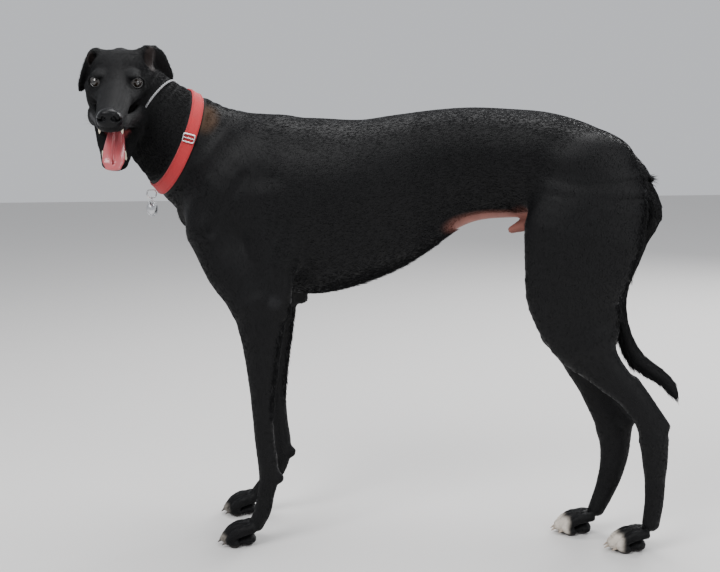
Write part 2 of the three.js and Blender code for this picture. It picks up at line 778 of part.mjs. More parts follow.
// Edge collapse by quadric error, keeping the surface a single sheet, down to a triangle budget
function decimate({ positions, triangles }, budget, weightAt) {
  const count = positions.length / 3;
  const P = Float64Array.from(positions);
  const faces = [];
  const around = Array.from({ length: count }, () => new Set());
  const Q = new Float64Array(count * 10);
  for (let t = 0; t < triangles.length; t += 3) {
    const face = [triangles[t], triangles[t + 1], triangles[t + 2]];
    if (face[0] === face[1] || face[1] === face[2] || face[0] === face[2]) continue;
    for (const v of face) around[v].add(faces.length);
    faces.push(face);
  }
  const normalOf = (a, b, c) => {
    const ux = P[b * 3] - P[a * 3];
    const uy = P[b * 3 + 1] - P[a * 3 + 1];
    const uz = P[b * 3 + 2] - P[a * 3 + 2];
    const wx = P[c * 3] - P[a * 3];
    const wy = P[c * 3 + 1] - P[a * 3 + 1];
    const wz = P[c * 3 + 2] - P[a * 3 + 2];
    return [uy * wz - uz * wy, uz * wx - ux * wz, ux * wy - uy * wx];
  };
  for (const [a, b, c] of faces) {
    const n = normalOf(a, b, c);
    const size = Math.hypot(...n) || 1e-12;
    const [x, y, z] = n.map((value) => value / size);
    const d = -(x * P[a * 3] + y * P[a * 3 + 1] + z * P[a * 3 + 2]);
    const w = size * weightAt(P[a * 3], P[a * 3 + 1], P[a * 3 + 2]);
    const q = [x * x, x * y, x * z, x * d, y * y, y * z, y * d, z * z, z * d, d * d];
    for (const v of [a, b, c]) for (let i = 0; i < 10; i += 1) Q[v * 10 + i] += q[i] * w;
  }
  const error = (q, x, y, z) =>
    q[0] * x * x + q[4] * y * y + q[7] * z * z + q[9] +
    2 * (q[1] * x * y + q[2] * x * z + q[3] * x + q[5] * y * z + q[6] * y + q[8] * z);
  const version = new Int32Array(count);
  const heap = [];
  const push = (item) => {
    heap.push(item);
    let i = heap.length - 1;
    while (i > 0) {
      const up = (i - 1) >> 1;
      if (heap[up].cost <= heap[i].cost) break;
      [heap[up], heap[i]] = [heap[i], heap[up]];
      i = up;
    }
  };
  const pop = () => {
    const top = heap[0];
    const last = heap.pop();
    if (heap.length > 0) {
      heap[0] = last;
      let i = 0;
      for (;;) {
        const l = 2 * i + 1;
        const r = l + 1;
        let least = i;
        if (l < heap.length && heap[l].cost < heap[least].cost) least = l;
        if (r < heap.length && heap[r].cost < heap[least].cost) least = r;
        if (least === i) break;
        [heap[least], heap[i]] = [heap[i], heap[least]];
        i = least;
      }
    }
    return top;
  };
  const offer = (a, b) => {
    const q = [];
    for (let i = 0; i < 10; i += 1) q.push(Q[a * 10 + i] + Q[b * 10 + i]);
    const A = [P[a * 3], P[a * 3 + 1], P[a * 3 + 2]];
    const B = [P[b * 3], P[b * 3 + 1], P[b * 3 + 2]];
    const tries = [A, B, A.map((value, i) => (value + B[i]) / 2)];
    const m = new THREE.Matrix3().set(q[0], q[1], q[2], q[1], q[4], q[5], q[2], q[5], q[7]);
    const long = Math.hypot(A[0] - B[0], A[1] - B[1], A[2] - B[2]);
    if (Math.abs(m.determinant()) > 1e-3 * (q[0] + q[4] + q[7]) ** 3) {
      const best = v3(-q[3], -q[6], -q[8]).applyMatrix3(m.invert());
      if (best.distanceTo(v3(...tries[2])) < 1.5 * long) tries.push([best.x, best.y, best.z]);
    }
    let chosen = null;
    for (const at of tries) {
      const cost = Math.max(0, error(q, ...at)) + 2e-3 * long * long;
      if (!chosen || cost < chosen.cost) chosen = { cost, at };
    }
    push({ ...chosen, a, b, va: version[a], vb: version[b] });
  };
  const neighbours = (v) => {
    const found = new Set();
    for (const f of around[v]) for (const o of faces[f]) if (o !== v) found.add(o);
    return found;
  };
  for (let v = 0; v < count; v += 1) for (const o of neighbours(v)) if (o > v) offer(v, o);
  let alive = faces.length;
  const flips = (v, other, at) => {
    for (const f of around[v]) {
      const face = faces[f];
      if (face.includes(other)) continue;
      const before = normalOf(...face);
      const keep = [P[v * 3], P[v * 3 + 1], P[v * 3 + 2]];
      P.set(at, v * 3);
      const after = normalOf(...face);
      P.set(keep, v * 3);
      const dot = before[0] * after[0] + before[1] * after[1] + before[2] * after[2];
      if (dot < 0.25 * Math.hypot(...before) * Math.hypot(...after)) return true;
    }
    return false;
  };
  while (alive > budget && heap.length > 0) {
    const { a, b, at, va, vb } = pop();
    if (version[a] !== va || version[b] !== vb) continue;
    const na = neighbours(a);
    const nb = neighbours(b);
    if (!na.has(b)) continue;
    let shared = 0;
    for (const o of na) if (nb.has(o)) shared += 1;
    if (shared !== 2 || na.size + nb.size < 9) continue;
    if (flips(a, b, at) || flips(b, a, at)) continue;
    P.set(at, a * 3);
    for (let i = 0; i < 10; i += 1) Q[a * 10 + i] += Q[b * 10 + i];
    for (const f of around[b]) {
      const face = faces[f];
      if (face.includes(a)) {
        for (const v of face) around[v].delete(f);
        faces[f] = null;
        alive -= 1;
      } else {
        face[face.indexOf(b)] = a;
        around[a].add(f);
      }
    }
    around[b].clear();
    version[a] += 1;
    version[b] += 1;
    for (const o of neighbours(a)) offer(a, o);
  }
  return { positions: Array.from(P), triangles: faces.filter(Boolean).flat() };
}

// Solids: a closed triangle mesh as a solid, and a solid as a geometry
function solidOf(geometry) {
  const bare = geometry.clone();
  bare.deleteAttribute("normal");
  bare.deleteAttribute("uv");
  const merged = mergeVertices(bare, 1e-3);
  return new Manifold(
    new Mesh({
      numProp: 3,
      vertProperties: new Float32Array(merged.attributes.position.array),
      triVerts: new Uint32Array(merged.index.array),
    }),
  );
}

function indexed(positions, triangles) {
  const geometry = new THREE.BufferGeometry();
  geometry.setAttribute("position", new THREE.Float32BufferAttribute(positions, 3));
  geometry.setIndex(triangles);
  return geometry;
}

function largest(solid) {
  const pieces = solid.decompose();
  pieces.sort((p, q) => q.volume() - p.volume());
  return pieces[0];
}

function geometryOf(solid) {
  const mesh = solid.getMesh();
  return indexed(Array.from(mesh.vertProperties), Array.from(mesh.triVerts));
}

// Meshes a list of shapes inside a box
function fleshSolid(shapes, box, cell, budget, weightAt, fine = [[], [], []]) {
  const xs = gridLines(box.min.x, box.max.x, cell, fine[0]);
  const ys = gridLines(box.min.y, box.max.y, cell, fine[1]);
  const zs = gridLines(box.min.z, box.max.z, cell, fine[2]);
  const values = unpinch(fillGrid(shapes, xs, ys, zs), xs.length, ys.length, zs.length);
  const mesh = surfaceNets(values, xs, ys, zs);
  const light = decimate(mesh, budget, weightAt);
  return largest(solidOf(indexed(light.positions, light.triangles)));
}

// A flat cutter: a box as thin as the gap, centred on a point, with its normal along n
function slab(centre, n, width, height, thick = CUT_GAP, across = v3(0, 1, 0)) {
  const normal = n.clone().normalize();
  const side = across.clone().addScaledVector(normal, -across.dot(normal)).normalize();
  const upward = v3(0, 0, 0).crossVectors(normal, side);
  const box = new THREE.BoxGeometry(width, height, thick);
  box.applyMatrix4(new THREE.Matrix4().makeBasis(side, upward, normal).setPosition(centre));
  return solidOf(box);
}

const HEAD_FINE_FROM = -400;
const headWeight = (x, y, z) => {
  if (x < -395 && z > 640) return x < -430 && y < -60 ? 9 : 5;
  return z < 60 ? 5 : 1;
};
const bodyBox = new THREE.Box3(v3(-575, -232, -16), v3(440, 118, 884));
const fleshBlock = fleshSolid(
  fleshShapes,
  bodyBox,
  5.5,
  BODY_TRIANGLES,
  headWeight,
  [
    [[-575, HEAD_FINE_FROM, 2.6]],
    [[-232, -60, 3]],
    [
      [-16, 52, 3.2],
      [640, 884, 2.6],
    ],
  ],
);

// The floor trims pads to small flats
const floorCut = solidOf(new THREE.BoxGeometry(1400, 800, 60).translate(0, 0, -30 + 0.6));
let flesh = largest(fleshBlock.subtract(floorCut));

// Tail: round sections along its curve, parted from the rump by its first cut
function tube(rows, sides = 10) {
  const positions = [];
  const triangles = [];
  rows.forEach((row, i) => {
    const before = rows[Math.max(0, i - 1)].at;
    const after = rows[Math.min(rows.length - 1, i + 1)].at;
    const along = after.clone().sub(before).normalize();
    const depth = v3(0, 0, 0).crossVectors(along, v3(0, 1, 0)).normalize();
    const width = v3(0, 0, 0).crossVectors(depth, along);
    for (let j = 0; j < sides; j += 1) {
      const turn = (j / sides) * 2 * Math.PI;
      const p = row.at
        .clone()
        .addScaledVector(depth, row.a * Math.cos(turn))
        .addScaledVector(width, row.b * Math.sin(turn));
      positions.push(p.x, p.y, p.z);
    }
  });
  for (let i = 0; i < rows.length - 1; i += 1) {
    for (let j = 0; j < sides; j += 1) {
      const a = i * sides + j;
      const b = i * sides + ((j + 1) % sides);
      triangles.push(a, a + sides, b, b, a + sides, b + sides);
    }
  }
  for (const end of [0, rows.length - 1]) {
    const centre = positions.length / 3;
    positions.push(rows[end].at.x, rows[end].at.y, rows[end].at.z);
    for (let j = 0; j < sides; j += 1) {
      const a = end * sides + j;
      const b = end * sides + ((j + 1) % sides);
      if (end === 0) triangles.push(centre, a, b);
      else triangles.push(centre, b, a);
    }
  }
  const solid = solidOf(indexed(positions, triangles));
  if (solid.volume() > 0) return solid;
  for (let t = 0; t < triangles.length; t += 3) {
    [triangles[t + 1], triangles[t + 2]] = [triangles[t + 2], triangles[t + 1]];
  }
  return solidOf(indexed(positions, triangles));
}
const tailRows = resample(TAIL, 2);
const tail = tube(tailRows);
const tailClear = tube(tailRows.slice(5).map((r) => ({ ...r, a: r.a + 0.6, b: r.b + 0.6 })));
flesh = largest(flesh.subtract(tailClear));

// Cuts between thigh and rump and between forearm and chest, alike on both sides
const FORE_CUT = { at: v3(-268, 74, 470), normal: v3(0, 102, -65), length: 190, height: 123 };
const HIND_CUT = { at: v3(280, 56, 620), normal: v3(17, 170, -70), length: 290, height: 232 };
for (const side of [LEFT, RIGHT]) {
  for (const { at, normal, length, height } of [FORE_CUT, HIND_CUT]) {
    const place = v3(at.x, side * at.y, at.z);
    const facing = v3(normal.x, side * normal.y, normal.z);
    flesh = flesh.subtract(slab(place, facing, length, height, CUT_GAP, v3(1, 0, 0)));
  }
}
flesh = flesh.add(tail);

// Claws grow from the tips of the toes
function spike(root, direction, length, radius, sag = 0) {
  const tip = root.clone().addScaledVector(direction, length);
  const mid = root.clone().lerp(tip, 0.55).add(v3(0, 0, sag));
  return tube(
    [
      { at: root, a: radius, b: radius * 0.75 },
      { at: mid, a: radius * 0.8, b: radius * 0.6 },
      { at: tip, a: radius * 0.25, b: radius * 0.2 },
    ],
    5,
  );
}
const CLAW = { length: 17, radius: 3.1, sag: 1.2 };
for (const paw of Object.values(PAWS)) {
  for (const toe of toePlaces(paw)) {
    const root = v3(toe.x(19), toe.y, 12);
    const reach = v3(AHEAD, toe.out * 0.12, -0.62).normalize();
    flesh = flesh.add(spike(root, reach, CLAW.length, CLAW.radius, CLAW.sag));
  }
}

// Teeth that the open mouth shows: canines and incisors in both jaws
const TEETH = [
  { f: 103, l: 15.5, u: -34, length: 19, radius: 3.6, lean: 0.12, down: true },
  { f: 113, l: 2.4, u: -33, length: 11, radius: 2.3, lean: 0, down: true },
  { f: 111.5, l: 6.7, u: -33, length: 11, radius: 2.3, lean: 0, down: true },
  { f: 109.5, l: 11, u: -33, length: 12, radius: 2.5, lean: 0, down: true },
  { f: 72, l: 16.5, u: -106, length: 20, radius: 3.3, lean: 0.1, down: false },
];
for (const { f, l, u, length, radius, lean, down } of TEETH) {
  for (const lr of [1, -1]) {
    const reach = headDirection(down ? 0.16 : 0.4, lr * lean, down ? -1 : 1);
    flesh = flesh.add(spike(headPoint(f, lr * l, u), reach, length, radius));
  }
}

// Tongue: broad, lying on the lower jaw and out over its front teeth
const TONGUE = [
  [34, -73, 5.5, 13],
  [56, -82, 5.5, 16],
  [78, -92, 5.2, 18.5],
  [94, -101, 4.6, 18],
  [101, -110, 3.6, 13],
];
const tongueSolid = (extra, budget) => {
  const rows = TONGUE.map(([f, u, a, b]) => headStation(f, 0, u, a + extra, b + extra));
  const shape = limb(rows, headAxes.left);
  return fleshSolid([blended(shape, 0)], shape.box, 2.4, budget, () => 1);
};
const tongue = tongueSolid(0, 420);
flesh = flesh.subtract(tongueSolid(0.5, 420));

// Eyes sit in the lids
const eyeBall = (lr, radius) => {
  const ball = new THREE.SphereGeometry(radius, 16, 10);
  ball.translate(...eyeCentre(lr).toArray());
  return solidOf(ball);
};
for (const lr of [1, -1]) flesh = flesh.subtract(eyeBall(lr, EYE_RADIUS + CUT_GAP));

// Cuts across the body
const HEAD_CUT = { at: v3(-433, -16, 709), normal: v3(0.869, 0, -0.495) };
const NECK_CUT = { at: v3(-368, -6, 682), normal: v3(-0.84, -0.06, 0.54) };
const LEG_CUTS = [
  { at: v3(-252, -76, 80), normal: v3(-0.12, 0, 1), size: 70 },
  { at: v3(-273, 76, 80), normal: v3(-0.5, 0, 1), size: 70 },
  { at: v3(292, -56, 352), normal: v3(-0.55, 0, 0.83), size: 82, depth: 176 },
  { at: v3(270, 56, 344), normal: v3(-0.55, 0, 0.83), size: 82, depth: 176 },
  { at: v3(400, -44, 196), normal: v3(-0.25, 0, 1), size: 50, depth: 84 },
  { at: v3(345, 44, 182), normal: v3(-0.2, 0, 1), size: 50, depth: 84 },
  { at: v3(399.5, -38, 55), normal: v3(0, 0, 1), size: 56, depth: 66 },
  { at: v3(316, 38, 56), normal: v3(0.25, 0, 1), size: 56, depth: 66 },
];
const TAIL_CUTS = [
  { row: 4, size: 48 },
  { row: 12, size: 30 },
  { row: 18, size: 28 },
];
const cuts = [
  slab(HEAD_CUT.at, HEAD_CUT.normal, 170, 250),
  slab(NECK_CUT.at, NECK_CUT.normal, 200, 262),
  slab(headPoint(NOSE_PLANE, 0, -18), headAxes.forward, 60, 60, CUT_GAP, headAxes.left),
  ...LEG_CUTS.map(({ at, normal, size, depth = size }) => slab(at, normal, size, depth)),
  ...TAIL_CUTS.map(({ row, size }) => {
    const along = tailRows[row + 1].at.clone().sub(tailRows[row - 1].at);
    return slab(tailRows[row].at, along, size, size);
  }),
];
for (const cut of cuts) flesh = flesh.subtract(cut);

// Each piece takes the name whose place is nearest to its middle
const PART_PLACES = {
  torso: v3(0, 0, 590),
  neck: v3(-391, -8, 703),
  head: v3(-472, -80, 760),
  nose: v3(-446, -200, 735),
  tail_root: v3(388, 0, 520),
  tail_middle: v3(358, 0, 385),
  tail_tip: v3(410, 0, 288),
  front_left_leg: v3(-257, -72, 290),
  front_right_leg: v3(-262, 72, 290),
  front_left_paw: v3(-288, -77, 45),
  front_right_paw: v3(-313, 77, 45),
  rear_left_thigh: v3(290, -70, 520),
  rear_right_thigh: v3(280, 70, 510),
  rear_left_shank: v3(338, -52, 289),
  rear_right_shank: v3(306, 50, 277),
  rear_left_pastern: v3(402, -41, 128),
  rear_right_pastern: v3(334, 41, 120),
  rear_left_paw: v3(367, -37, 28),
  rear_right_paw: v3(280, 37, 29),
};
const SMALLEST_PIECE = 400;
const parts = new Map();
for (const piece of flesh.decompose()) {
  const { min, max } = piece.boundingBox();
  const middle = v3(...min.map((low, i) => (low + max[i]) / 2));
  const names = Object.keys(PART_PLACES);
  const away = (name) => PART_PLACES[name].distanceTo(middle);
  names.sort((p, q) => away(p) - away(q));
  const held = parts.get(names[0]);
  if (piece.volume() < SMALLEST_PIECE || (held && held.volume() > piece.volume())) continue;
  parts.set(names[0], piece);
}

// Collar: a band seated in the neck, its ring of points found on the neck's own surface
const COLLAR = { at: v3(-405, -8, 697), normal: v3(-0.776, -0.62, 0.4), width: 18, thick: 2.6 };
const SLIP = { at: v3(-437, -18, 742), normal: v3(-0.82, 0.08, 0.56), thick: 2.2 };
function ringOnNeck({ at, normal }, offset, turns) {
  const n = normal.clone().normalize();
  const e1 = v3(0, 1, 0).addScaledVector(n, -n.y).normalize();
  const e2 = v3(0, 0, 0).crossVectors(n, e1);
  const start = at.clone().addScaledVector(n, offset);
  return Array.from({ length: turns }, (_, i) => {
    const turn = (i / turns) * 2 * Math.PI;
    const out = e1.clone().multiplyScalar(Math.cos(turn)).addScaledVector(e2, Math.sin(turn));
    let low = 20;
    let high = 140;
    for (let step = 0; step < 24; step += 1) {
      const middle = (low + high) / 2;
      if (neckDistance(start.clone().addScaledVector(out, middle)) < 0) low = middle;
      else high = middle;
    }
    return { at: start.clone().addScaledVector(out, low), out };
  });
}
const neckShapes = [blended(trunk(), 0), blended(neck(), 36)];
function neckDistance(p) {
  let d = FAR;
  for (const s of neckShapes) d = blendInto(d, s.distance(p.x, p.y, p.z), s.blend, s.op);
  return d;
}

// A closed ring swept from a section that changes round it
function sweptRing(sections) {
  const sides = sections[0].length;
  const positions = sections.flat().flatMap((p) => [p.x, p.y, p.z]);
  const triangles = [];
  sections.forEach((_, i) => {
    const next = (i + 1) % sections.length;
    for (let j = 0; j < sides; j += 1) {
      const k = (j + 1) % sides;
      const [a, b, c, d] = [i * sides + j, i * sides + k, next * sides + k, next * sides + j];
      triangles.push(a, b, c, a, c, d);
    }
  });
  const solid = solidOf(indexed(positions, triangles));
  if (solid.volume() > 0) return solid;
  return solidOf(indexed(positions, triangles.reverse()));
}
const RING_TURNS = 36;
function collarBand(extra) {
  const half = COLLAR.width / 2 + extra;
  const edges = [-half, half].map((offset) => ringOnNeck(COLLAR, offset, RING_TURNS));
  return sweptRing(
    edges[0].map((low, i) => {
      const high = edges[1][i];
      const at = (edge, lift) => edge.at.clone().addScaledVector(edge.out, lift);
      const inner = -0.4 - extra;
      const outer = COLLAR.thick + extra;
      return [at(low, inner), at(low, outer), at(high, outer), at(high, inner)];
    }),
  );
}
function slipRing(extra) {
  const n = SLIP.normal.clone().normalize();
  const radius = SLIP.thick + extra;
  return sweptRing(
    ringOnNeck(SLIP, 0, RING_TURNS).map(({ at, out }) =>
      Array.from({ length: 6 }, (_, j) => {
        const turn = (j / 6) * 2 * Math.PI;
        return at
          .clone()
          .addScaledVector(out, radius * Math.cos(turn))
          .addScaledVector(n, radius * Math.sin(turn));
      }),
    ),
  );
}
const collar = collarBand(0);
const slip = slipRing(0);
for (const name of ["neck", "torso", "head"]) {
  parts.set(name, largest(parts.get(name).subtract(collarBand(0.35))));
}
parts.set("head", largest(parts.get("head").subtract(slipRing(0.35))));

// Hardware on the collar: a slider, a ring below the throat, and a round tag on a small ring
const COLLAR_RING = ringOnNeck(COLLAR, 0, RING_TURNS);
const lowest = COLLAR_RING.reduce((p, q) => (q.at.z < p.at.z ? q : p));
const SLIDER_AT = Math.round(RING_TURNS * 0.565);
const HARDWARE = {
  ring: 8,
  wire: 1.3,
  link: 4.6,
  linkWire: 0.8,
  tag: 14,
  tagWide: 9.5,
  tagThick: 1.6,
};
function torusAt(centre, radius, wire, axis) {
  const ring = new THREE.TorusGeometry(radius, wire, 6, 16);
  const turn = new THREE.Quaternion().setFromUnitVectors(v3(0, 0, 1), axis.clone().normalize());
  ring.applyQuaternion(turn);
  return solidOf(ring.translate(centre.x, centre.y, centre.z));
}
const HANG_WAY = v3(-0.72, 0, -0.69);
const hang = lowest.at.clone().addScaledVector(HANG_WAY, COLLAR.thick + 2.9 + HARDWARE.ring);
const dRing = torusAt(hang, HARDWARE.ring, HARDWARE.wire, v3(0.35, -0.94, 0));
const linkAt = hang.clone().add(v3(0, 0, -HARDWARE.ring - HARDWARE.link + 2.6));
const link = torusAt(linkAt, HARDWARE.link, HARDWARE.linkWire, v3(0.94, 0.35, 0));
function tagPlate() {
  const { tag: long, tagWide: wide } = HARDWARE;
  const outline = new THREE.Shape().absellipse(0, 0, wide, long, 0, 2 * Math.PI);
  outline.holes.push(new THREE.Path().absarc(0, HARDWARE.tag - 3.4, 1.9, 0, 2 * Math.PI, true));
  const plate = new THREE.ExtrudeGeometry(outline, {
    depth: HARDWARE.tagThick,
    bevelEnabled: false,
    curveSegments: 10,
  });
  plate.translate(0, -HARDWARE.tag + 3.4, -HARDWARE.tagThick / 2);
  plate.rotateX(Math.PI / 2);
  plate.rotateZ(Math.atan2(0.35, 0.94));
  const drop = linkAt.clone().add(v3(0, 0, -HARDWARE.link));
  return solidOf(plate.translate(drop.x, drop.y, drop.z));
}
function sliderPlate(extra) {
  const [low, high] = [-1, 1].map((end) => ringOnNeck(COLLAR, (end * COLLAR.width) / 2, RING_TURNS));
  const across = high[SLIDER_AT].at.clone().sub(low[SLIDER_AT].at).normalize();
  const along = COLLAR_RING[SLIDER_AT + 1].at.clone().sub(COLLAR_RING[SLIDER_AT - 1].at);
  along.addScaledVector(across, -along.dot(across)).normalize();
  const out = v3(0, 0, 0).crossVectors(along, across);
  if (out.dot(COLLAR_RING[SLIDER_AT].out) < 0) out.negate();
  const plate = new THREE.BoxGeometry(16 + extra, COLLAR.width + 4 + extra, 2.6 + extra);
  const middle = low[SLIDER_AT].at.clone().lerp(high[SLIDER_AT].at, 0.5);
  const at = middle.addScaledVector(out, COLLAR.thick + 2.9);
  const basis = new THREE.Matrix4().makeBasis(along, v3(0, 0, 0).crossVectors(out, along), out);
  plate.applyMatrix4(basis.setPosition(at));
  return solidOf(plate);
}

for (const name of ["neck", "torso"]) {
  parts.set(name, largest(parts.get(name).subtract(sliderPlate(0.7))));
}

// Materials and the scene graph
const finish = (color, roughness, metalness = 0) => ({ color, roughness, metalness });
const COAT = finish(0x17181b, 0.62);
const FINISHES = {
  nose: finish(0x0b0b0c, 0.35),
  left_eye: finish(0x24150b, 0.08),
  right_eye: finish(0x24150b, 0.08),
  tongue: finish(0xc9707a, 0.4),
  collar: finish(0xb01518, 0.75),
  collar_slider: finish(0x98999c, 0.35, 0.9),
  collar_ring: finish(0xb9bbbf, 0.25, 1),
  tag_link: finish(0xb9bbbf, 0.25, 1),
  tag: finish(0xb0b2b6, 0.3, 1),
  slip_collar: finish(0x9a9ca0, 0.5, 0.3),
};
const solids = new Map([
  ...parts,
  ["left_eye", eyeBall(1, EYE_RADIUS)],
  ["right_eye", eyeBall(-1, EYE_RADIUS)],
  ["tongue", tongue],
  ["collar", collar],
  ["collar_slider", sliderPlate(0)],
  ["collar_ring", dRing],
  ["tag_link", link],
  ["tag", tagPlate()],
  ["slip_collar", slip],
]);
const greyhound = new THREE.Group();
greyhound.name = "greyhound";
for (const [name, solid] of solids) {
  const { color, roughness, metalness } = FINISHES[name] ?? COAT;
  const material = new THREE.MeshStandardMaterial({ color, roughness, metalness });
  const mesh = new THREE.Mesh(geometryOf(solid), material);
  mesh.name = name;
  mesh.position.copy(CENTRE);
  greyhound.add(mesh);
}

export default greyhound;
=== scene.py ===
"""A black greyhound at life size, standing with its head turned to its left, in a red collar.

Lengths inside the classes are millimetres in the body's own axes: the dog faces -X, its left side
faces -Y, Z is up, and x = 0 is midway between the fore and hind feet. Meshes are written in metres
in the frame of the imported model.
"""

import logging
import math
from dataclasses import dataclass, field
from enum import Enum
from typing import Callable, Iterable, Sequence

import bpy
import numpy as np
from mathutils import Matrix, Vector


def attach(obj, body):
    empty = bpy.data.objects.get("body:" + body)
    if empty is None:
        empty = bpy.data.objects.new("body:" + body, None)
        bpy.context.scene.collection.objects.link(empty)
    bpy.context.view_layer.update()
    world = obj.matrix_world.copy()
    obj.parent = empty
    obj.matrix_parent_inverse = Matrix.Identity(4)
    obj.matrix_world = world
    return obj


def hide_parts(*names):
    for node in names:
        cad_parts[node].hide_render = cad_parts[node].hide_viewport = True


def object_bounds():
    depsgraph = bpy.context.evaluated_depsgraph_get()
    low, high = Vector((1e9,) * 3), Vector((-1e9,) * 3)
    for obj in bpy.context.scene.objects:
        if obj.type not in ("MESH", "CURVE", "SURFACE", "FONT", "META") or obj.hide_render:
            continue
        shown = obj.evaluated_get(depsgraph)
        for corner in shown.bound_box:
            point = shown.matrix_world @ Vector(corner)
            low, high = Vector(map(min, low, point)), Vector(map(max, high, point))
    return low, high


LOG = logging.getLogger("greyhound")
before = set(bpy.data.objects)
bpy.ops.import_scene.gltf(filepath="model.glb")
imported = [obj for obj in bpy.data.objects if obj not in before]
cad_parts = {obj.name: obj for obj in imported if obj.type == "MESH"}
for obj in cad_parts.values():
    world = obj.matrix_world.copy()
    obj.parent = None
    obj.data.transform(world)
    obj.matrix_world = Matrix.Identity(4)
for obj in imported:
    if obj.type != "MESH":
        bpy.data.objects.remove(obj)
CAD_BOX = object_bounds()

Pair = tuple[np.ndarray, np.ndarray]
Triple = tuple[float, float, float]
Quad = tuple[float, float, float, float]

MM = 0.001
CENTRE = np.array([54.0, 54.5, 0.0])
FAR = 1000.0
COAT_DEPTH = 0.9
UP = np.array([0.0, 0.0, 1.0])
HEAD_NODES = ("head", "nose")
BODY_NODES = (
    "torso", "neck", "tail_root", "tail_middle", "tail_tip",
    "front_left_leg", "front_right_leg", "front_left_paw", "front_right_paw",
    "rear_left_thigh", "rear_right_thigh", "rear_left_shank", "rear_right_shank",
    "rear_left_pastern", "rear_right_pastern", "rear_left_paw", "rear_right_paw",
)


class Side(Enum):
    """The dog's own sides, with the sign of Y on each."""

    LEFT = -1
    RIGHT = 1


class Blend(Enum):
    """How a shape meets what came before it."""

    JOIN = "join"
    CUT = "cut"


def unit(vector: Sequence[float]) -> np.ndarray:
    """The vector at length one."""
    v = np.asarray(vector, float)
    return v / np.linalg.norm(v)


def unit_rows(rows: np.ndarray) -> np.ndarray:
    """Each row at length one."""
    return rows / np.maximum(np.linalg.norm(rows, axis=1), 1e-9)[:, None]


def turned(ahead: np.ndarray, across: np.ndarray, pitch: float, roll: float
           ) -> tuple[np.ndarray, np.ndarray, np.ndarray]:
    """Level axes pitched and then rolled.

    Args:
        ahead: the level way forward.
        across: the level way to the side.
        pitch: how many degrees forward is turned down.
        roll: how many degrees the side is turned down.

    Returns:
        Forward, the side and up as unit vectors.
    """
    p, r = math.radians(pitch), math.radians(roll)
    forward = ahead * math.cos(p) - UP * math.sin(p)
    high = ahead * math.sin(p) + UP * math.cos(p)
    return forward, across * math.cos(r) - high * math.sin(r), high * math.cos(r) + across * math.sin(r)


@dataclass(frozen=True)
class HeadFrame:
    """The head's own axes, from its bearing, pitch and roll in degrees."""

    at: Triple = (-471.6, -95.0, 795.4)
    bearing: float = -76.0
    pitch: float = 20.0
    roll: float = 2.7

    def axes(self) -> tuple[np.ndarray, np.ndarray, np.ndarray]:
        """Forward, left and up as unit vectors."""
        b = math.radians(self.bearing)
        ahead = np.array([math.cos(b), math.sin(b), 0.0])
        across = np.array([-math.sin(b), math.cos(b), 0.0])
        return turned(ahead, across, self.pitch, self.roll)

    def point(self, f: float, l: float, u: float) -> np.ndarray:
        """The place f forward, l to the left and u up from between the eyes."""
        forward, left, up = self.axes()
        return np.array(self.at) + f * forward + l * left + u * up

    def direction(self, f: float, l: float, u: float) -> np.ndarray:
        """A unit vector given in the head's own axes."""
        forward, left, up = self.axes()
        return unit(f * forward + l * left + u * up)

    def local(self, points: np.ndarray) -> np.ndarray:
        """Points in the head's own forward, left and up distances."""
        return (points - np.array(self.at)) @ np.array(self.axes()).T


HEAD = HeadFrame()


def ellipse_distance(parts: Sequence[np.ndarray], radii: Sequence) -> np.ndarray:
    """A close estimate of the distance to an ellipsoid.

    Args:
        parts: the point's three coordinates along the ellipsoid's axes.
        radii: the three radii, each a number or an array.

    Returns:
        The signed distance, negative inside.
    """
    k0 = np.sqrt(sum((p / r) ** 2 for p, r in zip(parts, radii)))
    k1 = np.sqrt(sum((p / (r * r)) ** 2 for p, r in zip(parts, radii)))
    return k0 * (k0 - 1.0) / np.maximum(k1, 1e-9)


class Shape:
    """A distance shape with the box it fills and the way it blends."""

    blend: float = 0.0
    op: Blend = Blend.JOIN

    def box(self) -> Pair:
        """The lowest and highest corner that the shape reaches."""
        raise NotImplementedError

    def distance(self, points: np.ndarray) -> np.ndarray:
        """The signed distance of each point, negative inside."""
        raise NotImplementedError

    def into(self, before: np.ndarray, points: np.ndarray) -> np.ndarray:
        """The field after this shape is blended into it."""
        d = self.distance(points)
        k = max(self.blend, 1e-6)
        if self.op is Blend.CUT:
            h = np.maximum(k - np.abs(before + d), 0.0) / k
            return np.maximum(before, -d) + h * h * k / 4
        h = np.maximum(k - np.abs(before - d), 0.0) / k
        return np.minimum(before, d) - h * h * k / 4


@dataclass
class Ellipsoid(Shape):
    """An ellipsoid with radii along three axes."""

    centre: np.ndarray
    radii: Triple
    axes: Sequence[np.ndarray] = field(default_factory=lambda: np.eye(3))
    blend: float = 0.0
    op: Blend = Blend.JOIN

    def box(self) -> Pair:
        """The lowest and highest corner."""
        reach = max(self.radii)
        return np.asarray(self.centre) - reach, np.asarray(self.centre) + reach

    def distance(self, points: np.ndarray) -> np.ndarray:
        """The signed distance of each point."""
        parts = (points - np.asarray(self.centre)) @ np.asarray(self.axes).T
        return ellipse_distance(parts.T, self.radii)


